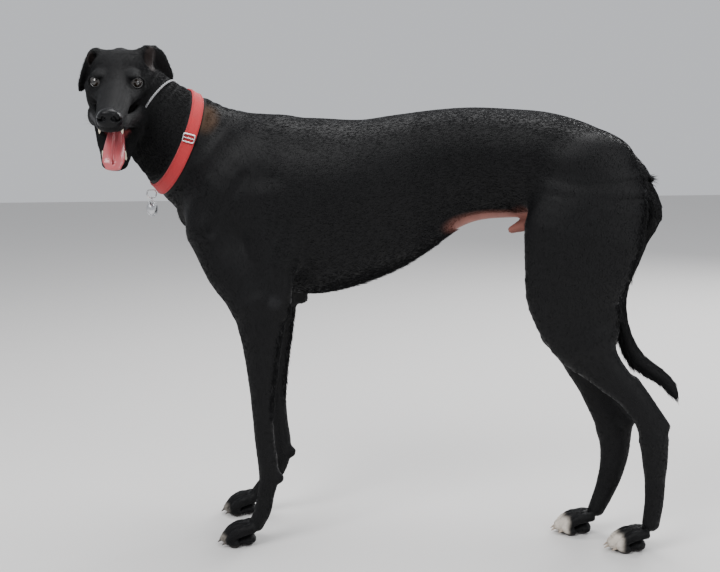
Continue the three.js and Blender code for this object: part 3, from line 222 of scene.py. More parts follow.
def catmull_rom(values: np.ndarray, steps: int) -> np.ndarray:
    """A centripetal curve through rows of places, with steps points for each span."""
    rows = []
    ends = np.vstack([2 * values[0] - values[1], values, 2 * values[-1] - values[-2]])
    for i in range(1, len(ends) - 2):
        p0, p1, p2, p3 = ends[i - 1 : i + 3]
        d1, d2, d3 = (max(np.linalg.norm(b - a), 1e-6) ** 0.5 for a, b in ((p0, p1), (p1, p2), (p2, p3)))
        m1 = (p1 - p0) / d1 - (p2 - p0) / (d1 + d2) + (p2 - p1) / d2
        m2 = (p2 - p1) / d2 - (p3 - p1) / (d2 + d3) + (p3 - p2) / d3
        m1, m2 = m1 * d2, m2 * d2
        for step in range(steps):
            t = step / steps
            rows.append(
                (2 * t**3 - 3 * t**2 + 1) * p1 + (t**3 - 2 * t**2 + t) * m1
                + (3 * t**2 - 2 * t**3) * p2 + (t**3 - t**2) * m2
            )
    rows.append(values[-1])
    return np.array(rows)


@dataclass
class Limb(Shape):
    """A tapered limb through stations of x, y, z, half depth and half width."""

    stations: Sequence[Sequence[float]]
    side: np.ndarray = field(default_factory=lambda: np.array([0.0, 1.0, 0.0]))
    blend: float = 0.0
    op: Blend = Blend.JOIN
    steps: int = 3

    def __post_init__(self) -> None:
        """Smooths the stations into rows."""
        values = np.array([list(s) for s in self.stations], float)
        self.places = catmull_rom(values[:, :3], self.steps)
        t = np.linspace(0, len(values) - 1, len(self.places))
        i = np.minimum(t.astype(int), len(values) - 2)
        w = t - i
        ease = (0.5 * w + 0.5 * w * w * (3 - 2 * w))[:, None]
        self.radii = values[i, 3:] + (values[i + 1, 3:] - values[i, 3:]) * ease

    def box(self) -> Pair:
        """The lowest and highest corner."""
        reach = self.radii.max()
        return self.places.min(0) - reach, self.places.max(0) + reach

    def distance(self, points: np.ndarray) -> np.ndarray:
        """The signed distance of each point, the least over the spans."""
        best = np.full(len(points), FAR)
        for start, end, r0, r1 in zip(self.places, self.places[1:], self.radii, self.radii[1:]):
            length = np.linalg.norm(end - start)
            along = (end - start) / length
            depth = unit(np.cross(along, self.side))
            width = unit(np.cross(depth, along))
            p = points - start
            run = p @ along
            t = np.clip(run / length, 0.0, 1.0)
            a = r0[0] + (r1[0] - r0[0]) * t
            b = r0[1] + (r1[1] - r0[1]) * t
            d = ellipse_distance((p @ depth, p @ width, run - t * length), (a, b, np.minimum(a, b)))
            best = np.minimum(best, d)
        return best


def profile(pairs: Sequence[Sequence[float]]) -> Callable[[np.ndarray], np.ndarray]:
    """A smooth curve through pairs of x and value."""
    xs, ys = np.array(pairs, float).T
    slopes = np.array(
        [
            (ys[min(j + 1, len(xs) - 1)] - ys[max(j - 1, 0)])
            / (xs[min(j + 1, len(xs) - 1)] - xs[max(j - 1, 0)])
            for j in range(len(xs))
        ]
    )

    def curve(x: np.ndarray) -> np.ndarray:
        """The value of the curve at each x."""
        x = np.clip(x, xs[0], xs[-1])
        i = np.clip(np.searchsorted(xs, x, side="right") - 1, 0, len(xs) - 2)
        w = xs[i + 1] - xs[i]
        t = (x - xs[i]) / w
        h = t * t * (3 - 2 * t)
        lean = slopes[i] * (1 - t) - slopes[i + 1] * t
        return ys[i] + (ys[i + 1] - ys[i]) * h + w * t * (1 - t) * lean

    return curve


@dataclass
class Trunk(Shape):
    """The trunk, from its back line, belly line and half width."""

    withers: float = 738.0
    floor: float = 429.0
    chest: float = 90.0
    loin: float = 62.0
    rump: float = 74.0
    front: float = -388.0
    rear: float = 392.0
    egg: float = 0.2
    blend: float = 0.0
    op: Blend = Blend.JOIN

    def __post_init__(self) -> None:
        """Makes the three curves."""
        w, c = self.withers, self.floor
        self.back = profile([
            (self.front, 572), (-373, 618), (-342, 668), (-300, 706), (-261, w - 10), (-220, w - 6),
            (-150, w - 9), (-82, w - 13), (-20, w - 6), (50, w + 1), (106, w + 3), (170, w - 1),
            (230, w - 8), (287, w - 25), (326, w - 46), (355, w - 74), (380, w - 102), (self.rear, w - 118),
        ])
        self.belly = profile([
            (self.front, 548), (-376, 505), (-346, 468), (-300, 446), (-250, c + 3), (-200, c),
            (-155, c + 1), (-110, c + 11), (-60, c + 28), (-10, c + 50), (36, c + 79), (80, c + 110),
            (117, c + 124), (170, c + 128), (250, c + 130), (300, c + 140), (345, c + 164),
            (378, c + 184), (self.rear, c + 189),
        ])
        self.width = profile([
            (self.front, 14), (-372, 34), (-334, 52), (-280, 66), (-220, self.chest - 8),
            (-150, self.chest), (-90, self.chest), (-30, self.chest - 12), (40, self.loin + 4),
            (100, self.loin), (160, self.loin + 4), (230, self.rump), (290, self.rump - 4),
            (335, 52), (368, 32), (self.rear, 12),
        ])

    def box(self) -> Pair:
        """The lowest and highest corner."""
        return np.array([self.front, -110.0, 420.0]), np.array([self.rear, 110.0, 745.0])

    def distance(self, points: np.ndarray) -> np.ndarray:
        """The signed distance of each point."""
        x, y, z = points.T
        inside = np.clip(x, self.front, self.rear)
        top, bottom = self.back(inside), self.belly(inside)
        half = (top - bottom) / 2
        v = z - (top + bottom) / 2
        lift = 1 + self.egg * np.clip(v / half, -1, 1)
        return ellipse_distance((x - inside, y, v), (10.0, self.width(inside) * lift, half))


@dataclass(frozen=True)
class Paw:
    """Where a paw stands, and the sizes of its toes."""

    at: tuple[float, float]
    length: float
    spread: float
    toe: float

    TOES = ((-1.0, -9.0, 0.9), (-0.34, 3.0, 1.0), (0.34, 4.0, 1.0), (1.0, -8.0, 0.9))

    def toes(self) -> Iterable[Quad]:
        """Each toe's share across, its shift ahead, its Y and its radius."""
        for across, ahead, size in self.TOES:
            yield across, ahead, self.at[1] + across * self.spread, self.toe * size

    def flesh(self) -> list[Shape]:
        """Toes with knuckles, a pad under each, and the wide pad."""
        x0, y0 = self.at
        half = self.length / 2
        shapes: list[Shape] = []
        for _, ahead, y, r in self.toes():
            def x(reach: float, ahead: float = ahead) -> float:
                """The X of a point that far towards the toe tips."""
                return x0 - (reach + ahead)

            shapes.append(Limb([
                (x(12 - half), y * 0.7 + y0 * 0.3, 33, r, r * 0.95),
                (x(-6), y, 30, r * 1.05, r * 0.95),
                (x(8), y, 22, r, r * 0.92),
                (x(18), y, 12.5, r * 0.82, r * 0.8),
            ], blend=4))
            shapes.append(Ellipsoid(np.array([x(9), y, 7.0]), (11, r * 0.82, 8.5), blend=4))
        pad = np.array([x0 + half * 0.52, y0, 10.0])
        shapes.append(Ellipsoid(pad, (16, self.spread * 0.95, 11.5), blend=6))
        return shapes


PAWS = {
    "front_left": Paw((-303, -77), 66, 20, 10.5),
    "front_right": Paw((-341, 77), 64, 20, 10.5),
    "rear_left": Paw((357, -37), 72, 17.5, 9.8),
    "rear_right": Paw((268, 37), 74, 17.5, 9.8),
}


@dataclass(frozen=True)
class Body:
    """Neck, shoulders, legs and tail."""

    fore_track: float = 76.0

    NECK = (
        (-252, 0, 620, 103, 64), (-325, -2, 645, 106, 60), (-376.5, -6, 680, 93, 55),
        (-417, -12, 715.5, 80, 51), (-450, -18, 753, 67, 49), (-474, -28, 788, 55, 48),
    )
    TAIL = (
        (340, 0, 656, 19, 20), (369, 0, 622, 18, 18), (391, 0, 588, 16.5, 16),
        (399, 0, 559, 15, 14.5), (380, 0, 522, 13.8, 13.5), (366, 0, 486, 13.5, 13),
        (350, 0, 446, 13, 12.5), (346, 0, 404, 12.5, 12), (356, -1, 358, 12, 11.5),
        (377, -2, 318, 14, 12), (409, -3, 295, 12.3, 11), (431, -4, 275, 10, 8.5),
        (443, -5, 251, 2.6, 2.2),
    )
    SHEATH = ((232, 0, 556, 15, 15), (190, 0, 545, 11.5, 11), (169, 0, 537, 7, 6.5))
    THIGHS = {
        Side.RIGHT: (
            (286, 44, 645, 62, 32), (290, 54, 590, 88, 38), (282, 58, 535, 88, 37),
            (274, 57, 485, 80, 33), (266, 54, 435, 71, 28), (262, 51, 395, 62, 25),
            (268, 50, 360, 53, 23),
        ),
        Side.LEFT: (
            (290, 44, 645, 64, 32), (298, 54, 595, 88, 38), (286, 60, 536, 95, 38),
            (278, 60, 485, 87, 34), (271, 58, 440, 78, 29), (277.5, 54, 400, 69.5, 26),
            (289, 52, 362, 58, 24),
        ),
    }
    SHANKS = {
        Side.RIGHT: (
            (266, 50, 352, 44, 23), (284, 49, 308, 33, 21), (305, 47, 262, 26, 18),
            (322, 45, 222, 24, 16.5), (338, 44, 190, 26, 17),
        ),
        Side.LEFT: (
            (290, 52, 350, 46, 23), (325, 50, 308, 31, 21), (362, 48, 268, 22, 18),
            (387, 46, 232, 20, 16), (401, 44, 200, 22, 16.5),
        ),
    }
    CANNONS = {
        Side.RIGHT: (
            (342, 43, 184, 29.5, 17), (342, 42, 146, 25, 15), (335.5, 40, 109, 21, 14),
            (324, 39, 74, 17.5, 14), (312, 38, 46, 15, 17),
        ),
        Side.LEFT: (
            (402.5, 43, 190, 24, 16.5), (404, 42, 158, 21.5, 14.5), (404.5, 40, 122, 17.5, 13.5),
            (403.5, 39, 84, 16, 14), (399, 38, 50, 15, 17),
        ),
    }
    TENDONS = {
        Side.RIGHT: ((312, 47, 268, 10, 9), (368, 43, 202, 9, 8.5)),
        Side.LEFT: ((368, 47, 290, 10, 9), (419, 43, 217, 9, 8.5)),
    }

    def on_side(self, rows: Iterable[Sequence[float]], side: Side) -> list[tuple[float, ...]]:
        """The rows with Y turned to that side."""
        return [(x, side.value * y, z, a, b) for x, y, z, a, b in rows]

    def shoulder(self, side: Side) -> list[Shape]:
        """Shoulder blade, upper arm and triceps."""
        blade = [(-208, 26, 690, 32, 19), (-250, 46, 660, 48, 26), (-297, 58, 606, 55, 29),
                 (-338, 55, 556, 40, 27)]
        arm = [(-333, 58, 548, 43, 27), (-296, 68, 482, 46, 25), (-260, 72, 428, 41, 23)]
        triceps = [(-232, 62, 600, 46, 26), (-222, 70, 520, 44, 24), (-216, 73, 440, 25, 18),
                   (-208, 74, 408, 11, 10)]
        parts = ((blade, 34), (arm, 24), (triceps, 20))
        return [Limb(self.on_side(rows, side), blend=blend) for rows, blend in parts]

    def foreleg(self, side: Side) -> list[Shape]:
        """The foreleg from elbow to pastern: the right one reaches further forward."""
        right = side is Side.RIGHT
        shift = -13 if right else 0
        bones = [
            (-249, -5, 418, 47, 23), (-248.5, -4, 386, 41, 22.5), (-248, -3, 354, 34, 21),
            (-248.5, -2, 309, 27, 18.5), (-249.5, -1, 264, 21, 16.5), (-249.5, 0, 222, 18, 15.6),
            (-247, 0, 176, 17.6, 16.6), (-243.5, 0, 144, 18, 18), (-244, 0, 116, 17, 17),
        ]
        rows = [(x + shift, self.fore_track + y, z, a, b) for x, y, z, a, b in bones]
        low = (
            [(-266, 0, 88, 15.5, 15.5), (-288, 0, 60, 15, 15.5), (-306, 0, 38, 14, 19)]
            if right
            else [(-250, 0, 90, 15.5, 15.5), (-256, 0, 62, 15, 15.5), (-268, 0, 38, 14, 19)]
        )
        rows += [(x, self.fore_track + y, z, a, b) for x, y, z, a, b in low]
        pad = np.array([-226.0 + shift, side.value * self.fore_track, 121.0])
        return [Limb(self.on_side(rows, side), blend=16), Ellipsoid(pad, (9.5, 7.5, 10), blend=9)]

    def hindleg(self, side: Side) -> list[Shape]:
        """Thigh, shank, hock and the tendon to it."""
        s = side.value
        parts = ((self.THIGHS, 30), (self.SHANKS, 22), (self.CANNONS, 12), (self.TENDONS, 14))
        shapes: list[Shape] = [
            Limb(self.on_side(rows[side], side), blend=blend) for rows, blend in parts
        ]
        shapes.append(Ellipsoid(np.array([302.0, 40.0 * s, 650.0]), (60, 34, 42), blend=30))
        shapes.append(Ellipsoid(np.array([366.0, 32.0 * s, 622.0]), (22, 18, 26), blend=20))
        return shapes

    def muscles(self) -> list[Shape]:
        """Grooves between the muscles that show through the thin skin."""
        shapes: list[Shape] = []
        for s in (-1, 1):
            shapes += [
                Limb([(-262, 92 * s, 640, 5, 5), (-300, 96 * s, 585, 5, 5), (-322, 92 * s, 545, 4, 4)],
                     blend=9, op=Blend.CUT),
                Limb([(-205, 96 * s, 560, 5, 5), (-232, 101 * s, 500, 5, 5), (-262, 103 * s, 462, 4, 4)],
                     blend=8, op=Blend.CUT),
                Limb([(238, 100 * s, 640, 5, 5), (262, 108 * s, 560, 5, 5), (262, 104 * s, 470, 4, 4)],
                     blend=9, op=Blend.CUT),
            ]
        return shapes

    def shapes(self) -> list[Shape]:
        """Everything but the head, in the order it is blended."""
        shapes: list[Shape] = [Trunk(), Limb(self.NECK, blend=36)]
        for part in (self.shoulder, self.hindleg, self.foreleg):
            for side in Side:
                shapes += part(side)
        shapes.append(Limb(self.SHEATH, blend=10))
        shapes += self.muscles()
        for paw in PAWS.values():
            shapes += paw.flesh()
        shapes.append(Limb(self.TAIL, blend=5, steps=2))
        return shapes


@dataclass(frozen=True)
class HeadFlesh:
    """Skull, cheeks, muzzle, lips, jaw, nose, lids and ears."""

    eye_spacing: float = 63.0

    def station(self, f: float, l: float, u: float, a: float, b: float) -> tuple[float, ...]:
        """A station of a limb given in the head's own distances."""
        return (*HEAD.point(f, l, u), a, b)

    def ball(self, f: float, l: float, u: float, radii: Triple,
             blend: float, op: Blend = Blend.JOIN) -> Ellipsoid:
        """An ellipsoid along the head's own axes."""
        return Ellipsoid(HEAD.point(f, l, u), radii, HEAD.axes(), blend, op)

    def run(self, rows: Sequence[Sequence[float]], blend: float, op: Blend = Blend.JOIN) -> Limb:
        """A limb through stations in the head's own distances."""
        return Limb([self.station(*row) for row in rows], HEAD.axes()[1], blend, op)

    def eye_axis(self, lr: int) -> np.ndarray:
        """The way an eye looks."""
        return HEAD.direction(0.88, lr * 0.46, 0.1)

    def eye_frame(self, lr: int) -> list[np.ndarray]:
        """An eye's way out, the way along its lids, and up."""
        out = self.eye_axis(lr)
        along = HEAD.direction(-lr * 0.46, 0.88, -lr * 0.18)
        return [out, along, unit(np.cross(out, along))]

    def eye_centre(self, lr: int) -> np.ndarray:
        """The middle of an eyeball."""
        return HEAD.point(-8, lr * self.eye_spacing / 2, -1)

    def shapes(self) -> list[Shape]:
        """The head, in the order it is blended."""
        ball, run = self.ball, self.run
        shapes: list[Shape] = [
            ball(-50, 0, -3, (50, 44, 40), 20),
            ball(-22, 0, -6, (44, 33, 25), 16),
            ball(-86, 0, 6, (20, 20, 24), 16),
            ball(-72, 0, -34, (36, 42, 42), 22),
            run([(-6, 0, -13, 27, 31), (26, 0, -15, 25.5, 29), (60, 0, -18, 23.5, 26.5),
                 (92, 0, -20, 21.5, 24), (114, 0, -20.5, 20, 21.5)], 12),
        ]
        for lr in (1, -1):
            lid = self.eye_centre(lr) + 6 * self.eye_axis(lr)
            shapes += [
                ball(-36, lr * 31, -32, (38, 24, 37), 14),
                ball(-52, lr * 22, 14, (32, 21, 21), 12),
                ball(-62, lr * 38, 14, (20, 15, 20), 12),
                ball(-5, lr * 28, 12.5, (17, 11, 7.5), 8),
                Ellipsoid(lid, (7, 14.5, 12), self.eye_frame(lr), 3),
                run([(24, lr * 24, -18, 9, 8), (-28, lr * 46, -17, 9, 9)], 9),
                run([(112, lr * 11, -34, 8, 8), (88, lr * 19, -39, 10.5, 6.5),
                     (60, lr * 24, -44, 12, 6.5), (34, lr * 32, -50, 14, 8),
                     (8, lr * 38, -54, 18, 11)], 7),
            ]
        shapes.append(run([(-34, 0, -58, 24, 46), (-6, 0, -75, 22, 41), (24, 0, -91, 17.5, 34),
                           (52, 0, -104, 14, 26), (75, 0, -112.5, 12.5, 21.5)], 10))
        shapes += [
            ball(121, 0, -13.5, (11, 18.5, 13.5), 4),
            ball(124, 0, -7, (8.5, 14, 7), 4),
            ball(121, 0, -30, (7, 13, 9), 5),
            run([(26, 0, -68, 7, 20), (54, 0, -72, 17, 19), (84, 0, -75, 27, 17.5),
                 (118, 0, -84, 38, 18)], 5, Blend.CUT),
        ]
        for lr in (1, -1):
            opening = self.eye_centre(lr) + 11 * self.eye_axis(lr)
            shapes.append(Ellipsoid(opening, (8, 11.8, 8.8), self.eye_frame(lr), 1.5, Blend.CUT))
        for lr in (1, -1):
            shapes += [
                ball(134, lr * 8.2, -13.5, (8, 3.8, 3.4), 1.5, Blend.CUT),
                ball(129, lr * 15, -17.5, (9, 4.5, 1.7), 1.2, Blend.CUT),
            ]
        return shapes + self.ears()

    def ears(self) -> list[Shape]:
        """For each ear a root that stands up, a flap that hangs from it, and a cup."""
        left_root = [(-58, 34, 8, 12, 17), (-60, 42, 26, 9, 15), (-63, 48, 39, 6, 9)]
        right_root = [(-58, -30, 8, 12, 16), (-57, -35, 24, 8, 14), (-56, -38, 34, 5.5, 8)]
        left = [(-68, 53, 34, 7, 12), (-76, 62, 19, 5.5, 16), (-83, 70, -2, 4.6, 15.5),
                (-86, 78, -18, 3.8, 12), (-86, 82, -30, 2.8, 6)]
        right = [(-54, -40, 27, 7, 11), (-51, -46, 12, 5.5, 14), (-47, -53, -5, 4.6, 13),
                 (-45, -60, -20, 3.8, 10), (-45, -65, -30, 2.8, 5)]
        return [
            self.run(left_root, 10),
            self.run(right_root, 10),
            Limb([self.station(*row) for row in left], HEAD.direction(-0.4, 0.85, 0.25), 8),
            Limb([self.station(*row) for row in right], HEAD.direction(0.5, -0.8, 0.3), 8),
            self.ball(-48, 50, 27, (8, 8, 12), 4, Blend.CUT),
            self.ball(-46, -40, 22, (6, 7, 11), 4, Blend.CUT),
        ]


@dataclass
class Tissue:
    """A distance field: shapes blended in order, and shrunk by the depth of the coat."""

    shapes: Sequence[Shape]
    depth: float = COAT_DEPTH
    margin: float = 14.0

    def reach(self, shape: Shape) -> Pair:
        """The box in which a shape counts."""
        low, high = shape.box()
        return low - self.margin - shape.blend / 2, high + self.margin + shape.blend / 2

    def at(self, points: np.ndarray) -> np.ndarray:
        """The field at each point."""
        values = np.full(len(points), FAR)
        for shape in self.shapes:
            low, high = self.reach(shape)
            near = np.all((points >= low) & (points <= high), axis=1)
            if near.any():
                values[near] = shape.into(values[near], points[near])
        return values + self.depth

    def slope(self, points: np.ndarray, step: float = 0.5) -> np.ndarray:
        """The gradient at each point by central differences."""
        rows = []
        for axis in np.eye(3) * step:
            rows.append((self.at(points + axis) - self.at(points - axis)) / (2 * step))
        return np.array(rows).T

    def on_grid(self, lines: Sequence[np.ndarray]) -> np.ndarray:
        """The field on a grid, each shape painted inside its own box."""
        values = np.full([len(axis) for axis in lines], FAR, np.float32)
        for shape in self.shapes:
            low, high = self.reach(shape)
            cut = tuple(
                slice(np.searchsorted(axis, a), np.searchsorted(axis, b))
                for axis, a, b in zip(lines, low, high)
            )
            block = values[cut]
            if block.size == 0:
                continue
            places = np.meshgrid(*(axis[part] for axis, part in zip(lines, cut)), indexing="ij")
            points = np.stack([p.ravel() for p in places], axis=1)
            values[cut] = shape.into(block.ravel().astype(float), points).reshape(block.shape)
        return values + self.depth


@dataclass(frozen=True)
class HalfSpace:
    """A plane that keeps what lies on the side its normal points away from."""

    at: Triple
    normal: Triple

    def outside(self, points: np.ndarray) -> np.ndarray:
        """How far each point lies beyond the plane."""
        return (points - np.array(self.at)) @ unit(self.normal)


def grid_lines(low: float, high: float, coarse: float,
               fine: Sequence[Triple] = ()) -> np.ndarray:
    """Grid lines from low to high that are closer in the given ranges.

    Args:
        low: the first line.
        high: where the lines stop.
        coarse: the step outside the ranges.
        fine: ranges, each with its own step.

    Returns:
        The places of the lines.
    """
    lines = [low]
    while lines[-1] < high:
        steps = [s for a, b, s in fine if a <= lines[-1] < b]
        lines.append(lines[-1] + (steps[0] if steps else coarse))
    return np.array(lines)


def surface_nets(values: np.ndarray, lines: Sequence[np.ndarray]) -> Pair:
    """One vertex in each cell that the surface crosses, and a quad across each crossed edge.

    Args:
        values: the field on the grid.
        lines: the grid's lines along X, Y and Z.

    Returns:
        The vertices, and the quads with their faces outwards.
    """
    inside = values < 0
    corners = [np.array([c & 1, (c >> 1) & 1, (c >> 2) & 1]) for c in range(8)]
    counts = np.zeros([n - 1 for n in values.shape], np.int8)
    for c in corners:
        part = tuple(slice(o, o + n - 1) for o, n in zip(c, values.shape))
        counts += inside[part]
    cells = np.argwhere((counts > 0) & (counts < 8))
    index = np.full(counts.shape, -1, np.int64)
    index[tuple(cells.T)] = np.arange(len(cells))
    total = np.zeros((len(cells), 3))
    hits = np.zeros(len(cells))
    for a in range(8):
        for axis in range(3):
            if a & (1 << axis):
                continue
            start, end = cells + corners[a], cells + corners[a | (1 << axis)]
            va, vb = values[tuple(start.T)], values[tuple(end.T)]
            crossed = (va < 0) != (vb < 0)
            t = np.where(crossed, va / np.where(crossed, va - vb, 1.0), 0.0)
            p0 = np.stack([lines[i][start[:, i]] for i in range(3)], axis=1)
            p1 = np.stack([lines[i][end[:, i]] for i in range(3)], axis=1)
            total += np.where(crossed[:, None], p0 + (p1 - p0) * t[:, None], 0.0)
            hits += crossed
    quads = []
    for axis in range(3):
        first = [slice(1, -1)] * 3
        second = [slice(1, -1)] * 3
        first[axis], second[axis] = slice(0, -1), slice(1, None)
        here, there = inside[tuple(first)], inside[tuple(second)]
        places = np.argwhere(here != there)
        solid = here[tuple(places.T)]
        shift = np.ones(3, int)
        shift[axis] = 0
        places = places + shift
        b, c = [(1, 2), (2, 0), (0, 1)][axis]
        ring = []
        for back_b, back_c in ((1, 1), (0, 1), (0, 0), (1, 0)):
            place = places.copy()
            place[:, b] -= back_b
            place[:, c] -= back_c
            ring.append(index[tuple(place.T)])
        ring = np.stack(ring, axis=1)
        ring[~solid] = ring[~solid][:, ::-1]
        quads.append(ring)
    return total / hits[:, None], np.concatenate(quads)


def settle(points: np.ndarray, tissue: Tissue, rounds: int = 2, most: float = 1.5) -> np.ndarray:
    """Moves points onto the surface of a field, by no more than the given length a round."""
    for _ in range(rounds):
        slope = tissue.slope(points)
        size = np.maximum((slope**2).sum(axis=1), 0.05)
        move = -slope * (tissue.at(points) / size)[:, None]
        length = np.linalg.norm(move, axis=1)
        points = points + move * np.minimum(1.0, most / np.maximum(length, 1e-9))[:, None]
    return points


def smooth_step(value: np.ndarray, low: float, high: float) -> np.ndarray:
    """0 up to low, 1 from high on, and a smooth change between; low may be the larger."""
    t = np.clip((value - low) / (high - low), 0.0, 1.0)
    return t * t * (3 - 2 * t)


@dataclass(frozen=True)
class Tone:
    """A linear colour and a roughness that a region of the coat takes."""

    colour: Triple
    roughness: float


class Markings:
    """What colour the coat, and the bare skin that shows through it, has at each place, with a painted
    highlight along the top of the back and painted shade on the face.

    The spots are ellipsoids: a centre, three radii and how soft the edge is. Those of the ears are
    in the head's own distances.
    """

    BLACK = Tone((0.0042, 0.0042, 0.0046), 0.46)
    # The black of the face, rougher than the body's and painted darker: painted shade that keeps the face
    # dark under the lamps.
    SHADED_FACE = Tone((0.0034, 0.0034, 0.0037), 0.64)
    # A paler grey: painted highlight along the top of the back, and the grey of a callus on the near elbow.
    CALLUS_AND_SHEEN = Tone((0.011, 0.011, 0.012), 0.50)
    TAN = Tone((0.120, 0.066, 0.036), 0.60)
    PINK = Tone((0.300, 0.120, 0.095), 0.55)
    WHITE = Tone((0.560, 0.510, 0.450), 0.65)
    NOSE = Tone((0.0060, 0.0060, 0.0066), 0.24)
    LIP = Tone((0.0100, 0.0085, 0.0088), 0.28)
    MOUTH = Tone((0.230, 0.055, 0.055), 0.30)
    EAR = Tone((0.016, 0.011, 0.010), 0.55)
    PAD = Tone((0.030, 0.026, 0.025), 0.75)

    # Painted highlight: a paler grey where the light falls along the top of the back.
    BACK_SHEEN = ((120, 0, 735), (190, 60, 26), 0.6)
    NECK_RUB = ((-336, -46, 734), (19, 30, 24), 0.45)
    BELLY = ((150, 0, 548), (92, 50, 26), 0.3)
    GROIN = ((208, -2, 548), (46, 44, 44), 0.35)
    # A grey callus on the near elbow.
    ELBOW = ((-217, -96, 428), (13, 12, 13), 0.3)
    LEFT_CUP = ((-54, 54, 24), (15, 12, 22), 0.4)
    RIGHT_CUP = ((-47, -44, 22), (9, 9, 15), 0.4)

    def spot(self, points: np.ndarray, at: Sequence[float], radii: Sequence[float],
             soft: float = 0.35) -> np.ndarray:
        """How strongly an ellipsoidal region covers each point, with a soft edge."""
        k = np.sqrt((((points - np.array(at)) / np.array(radii)) ** 2).sum(axis=1))
        return smooth_step(k, 1 + soft, 1 - soft)

    def waver(self, points: np.ndarray, size: float) -> np.ndarray:
        """A gentle uneven value between about -1 and 1 that makes edges ragged."""
        p = points / size
        return (
            np.sin(p[:, 0] + 1.7 * np.sin(p[:, 1])) + np.sin(1.3 * p[:, 1] + 1.9 * np.sin(p[:, 2]))
            + np.sin(1.1 * p[:, 2] + 1.5 * np.sin(1.2 * p[:, 0]))
        ) / 3

    def regions(self, points: np.ndarray) -> list[tuple[Tone, np.ndarray]]:
        """The tones over black, in the order they are laid, each with its strength."""
        x, y, z = points.T
        local = HEAD.local(points)
        f, l, u = local.T
        rough = self.waver(points, 5.0) * 0.16
        on_head = smooth_step(np.linalg.norm(local - np.array([-10, 0, -20]), axis=1), 170, 150)
        rows: list[tuple[Tone, np.ndarray]] = []
        # Painted highlight: a paler grey laid along the top of the back.
        rows.append((self.CALLUS_AND_SHEEN, 0.5 * self.spot(points, *self.BACK_SHEEN)))
        # Painted shade: the front of the head a little darker than the coat's black, and rougher.
        rows.append((self.SHADED_FACE, smooth_step(f, -75, -35) * on_head))
        rub = self.spot(points, *self.NECK_RUB) * (1 + rough)
        rows.append((self.TAN, 0.32 * rub * smooth_step(COLLAR.along(points), -8, -12)))
        under = np.maximum(self.spot(points, *self.BELLY), self.spot(points, *self.GROIN))
        rows.append((self.PINK, 0.8 * under * (1 + rough)))
        for name, paw in PAWS.items():
            ahead = -(x - paw.at[0])
            near = smooth_step(np.hypot(x - paw.at[0], y - paw.at[1]), 62, 48)
            if name.startswith("rear"):
                toes = smooth_step(ahead + 9 * rough, -2, 9) * smooth_step(z, 36, 26)
            else:
                toes = 0.35 * smooth_step(ahead + 40 * rough, 10, 22) * smooth_step(z, 26, 16)
            rows.append((self.WHITE, toes * near))
            rows.append((self.PAD, smooth_step(z, 6.5, 3.5) * near))
        # The grey of a callus on the near elbow.
        rows.append((self.CALLUS_AND_SHEEN, 0.9 * self.spot(points, *self.ELBOW)))
        inner = smooth_step(self.ear_inside(local), 0.25, 0.75)
        rows.append((self.EAR, 0.8 * inner * on_head))
        lip = smooth_step(np.abs(u + 45 - 0.035 * (f - 70)), 7, 2) * smooth_step(f, 10, 30)
        rows.append((self.LIP, 0.6 * lip * on_head))
        pad = smooth_step(f, 113, 116.5) * smooth_step(u, -29, -26) * smooth_step(u, 6, 3)
        rows.append((self.NOSE, pad * on_head))
        mouth = (smooth_step(np.abs(l), 24, 19) * smooth_step(f, 18, 28)
                 * smooth_step(self.mouth_gap(f, u), 1.12, 0.98))
        rows.append((self.MOUTH, mouth * on_head))
        return rows

    def mouth_gap(self, f: np.ndarray, u: np.ndarray) -> np.ndarray:
        """Below 1 between the palate and the floor of the mouth."""
        middle = -68 - 0.155 * np.maximum(f - 26, 0)
        half = 8 + 0.32 * np.maximum(f - 26, 0)
        return np.abs(u - middle) / half

    def ear_inside(self, local: np.ndarray) -> np.ndarray:
        """Near 1 in the cup of either ear."""
        f, l, _ = local.T
        left = self.spot(local, *self.LEFT_CUP) * smooth_step(l - f * 0.1, 40, 50)
        return np.maximum(left, 0.6 * self.spot(local, *self.RIGHT_CUP))

    def tones(self, points: np.ndarray) -> tuple[np.ndarray, np.ndarray, np.ndarray]:
        """The colour, roughness and bareness of the coat at each point.

        Args:
            points: places in millimetres.

        Returns:
            The colours, the roughnesses, and how far the fur is gone, from 0 to 1.
        """
        colour = np.tile(np.array(self.BLACK.colour), (len(points), 1))
        rough = np.full(len(points), self.BLACK.roughness)
        bare = np.zeros(len(points))
        hairless = (self.PINK, self.NOSE, self.LIP, self.MOUTH, self.EAR, self.PAD)
        for tone, strength in self.regions(points):
            s = np.clip(strength, 0, 1)
            colour += (np.array(tone.colour) - colour) * s[:, None]
            rough += (tone.roughness - rough) * s
            bare = np.maximum(bare, s) if tone in hairless else bare
        return colour, rough, bare


class Sock:
    """A socket that arithmetic works on."""

    def __init__(self, shader: "Shader", socket: bpy.types.NodeSocket) -> None:
        """Keeps the tree and the socket."""
        self.shader = shader
        self.socket = socket

    def math(self, operation: str, *others: "Sock | float") -> "Sock":
        """A Math node of this value and others."""
        inputs = dict(enumerate((self, *others)))
        return self.shader.node("ShaderNodeMath", {"operation": operation}, inputs).out(0)

    def __add__(self, other: "Sock | float") -> "Sock":
        """The sum."""
        return self.math("ADD", other)

    __radd__ = __add__

    def __mul__(self, other: "Sock | float") -> "Sock":
        """The product."""
        return self.math("MULTIPLY", other)

    __rmul__ = __mul__

    def __sub__(self, other: "Sock | float") -> "Sock":
        """The difference."""
        return self.math("SUBTRACT", other)

    def __rsub__(self, other: float) -> "Sock":
        """A number less this value."""
        return (self * -1.0) + other


@dataclass
class MadeNode:
    """A node in a shader, with its outputs as sockets that can be reckoned with."""

    shader: "Shader"
    node: bpy.types.Node

    def out(self, key: int | str) -> Sock:
        """An output by number or name."""
        return Sock(self.shader, self.node.outputs[key])


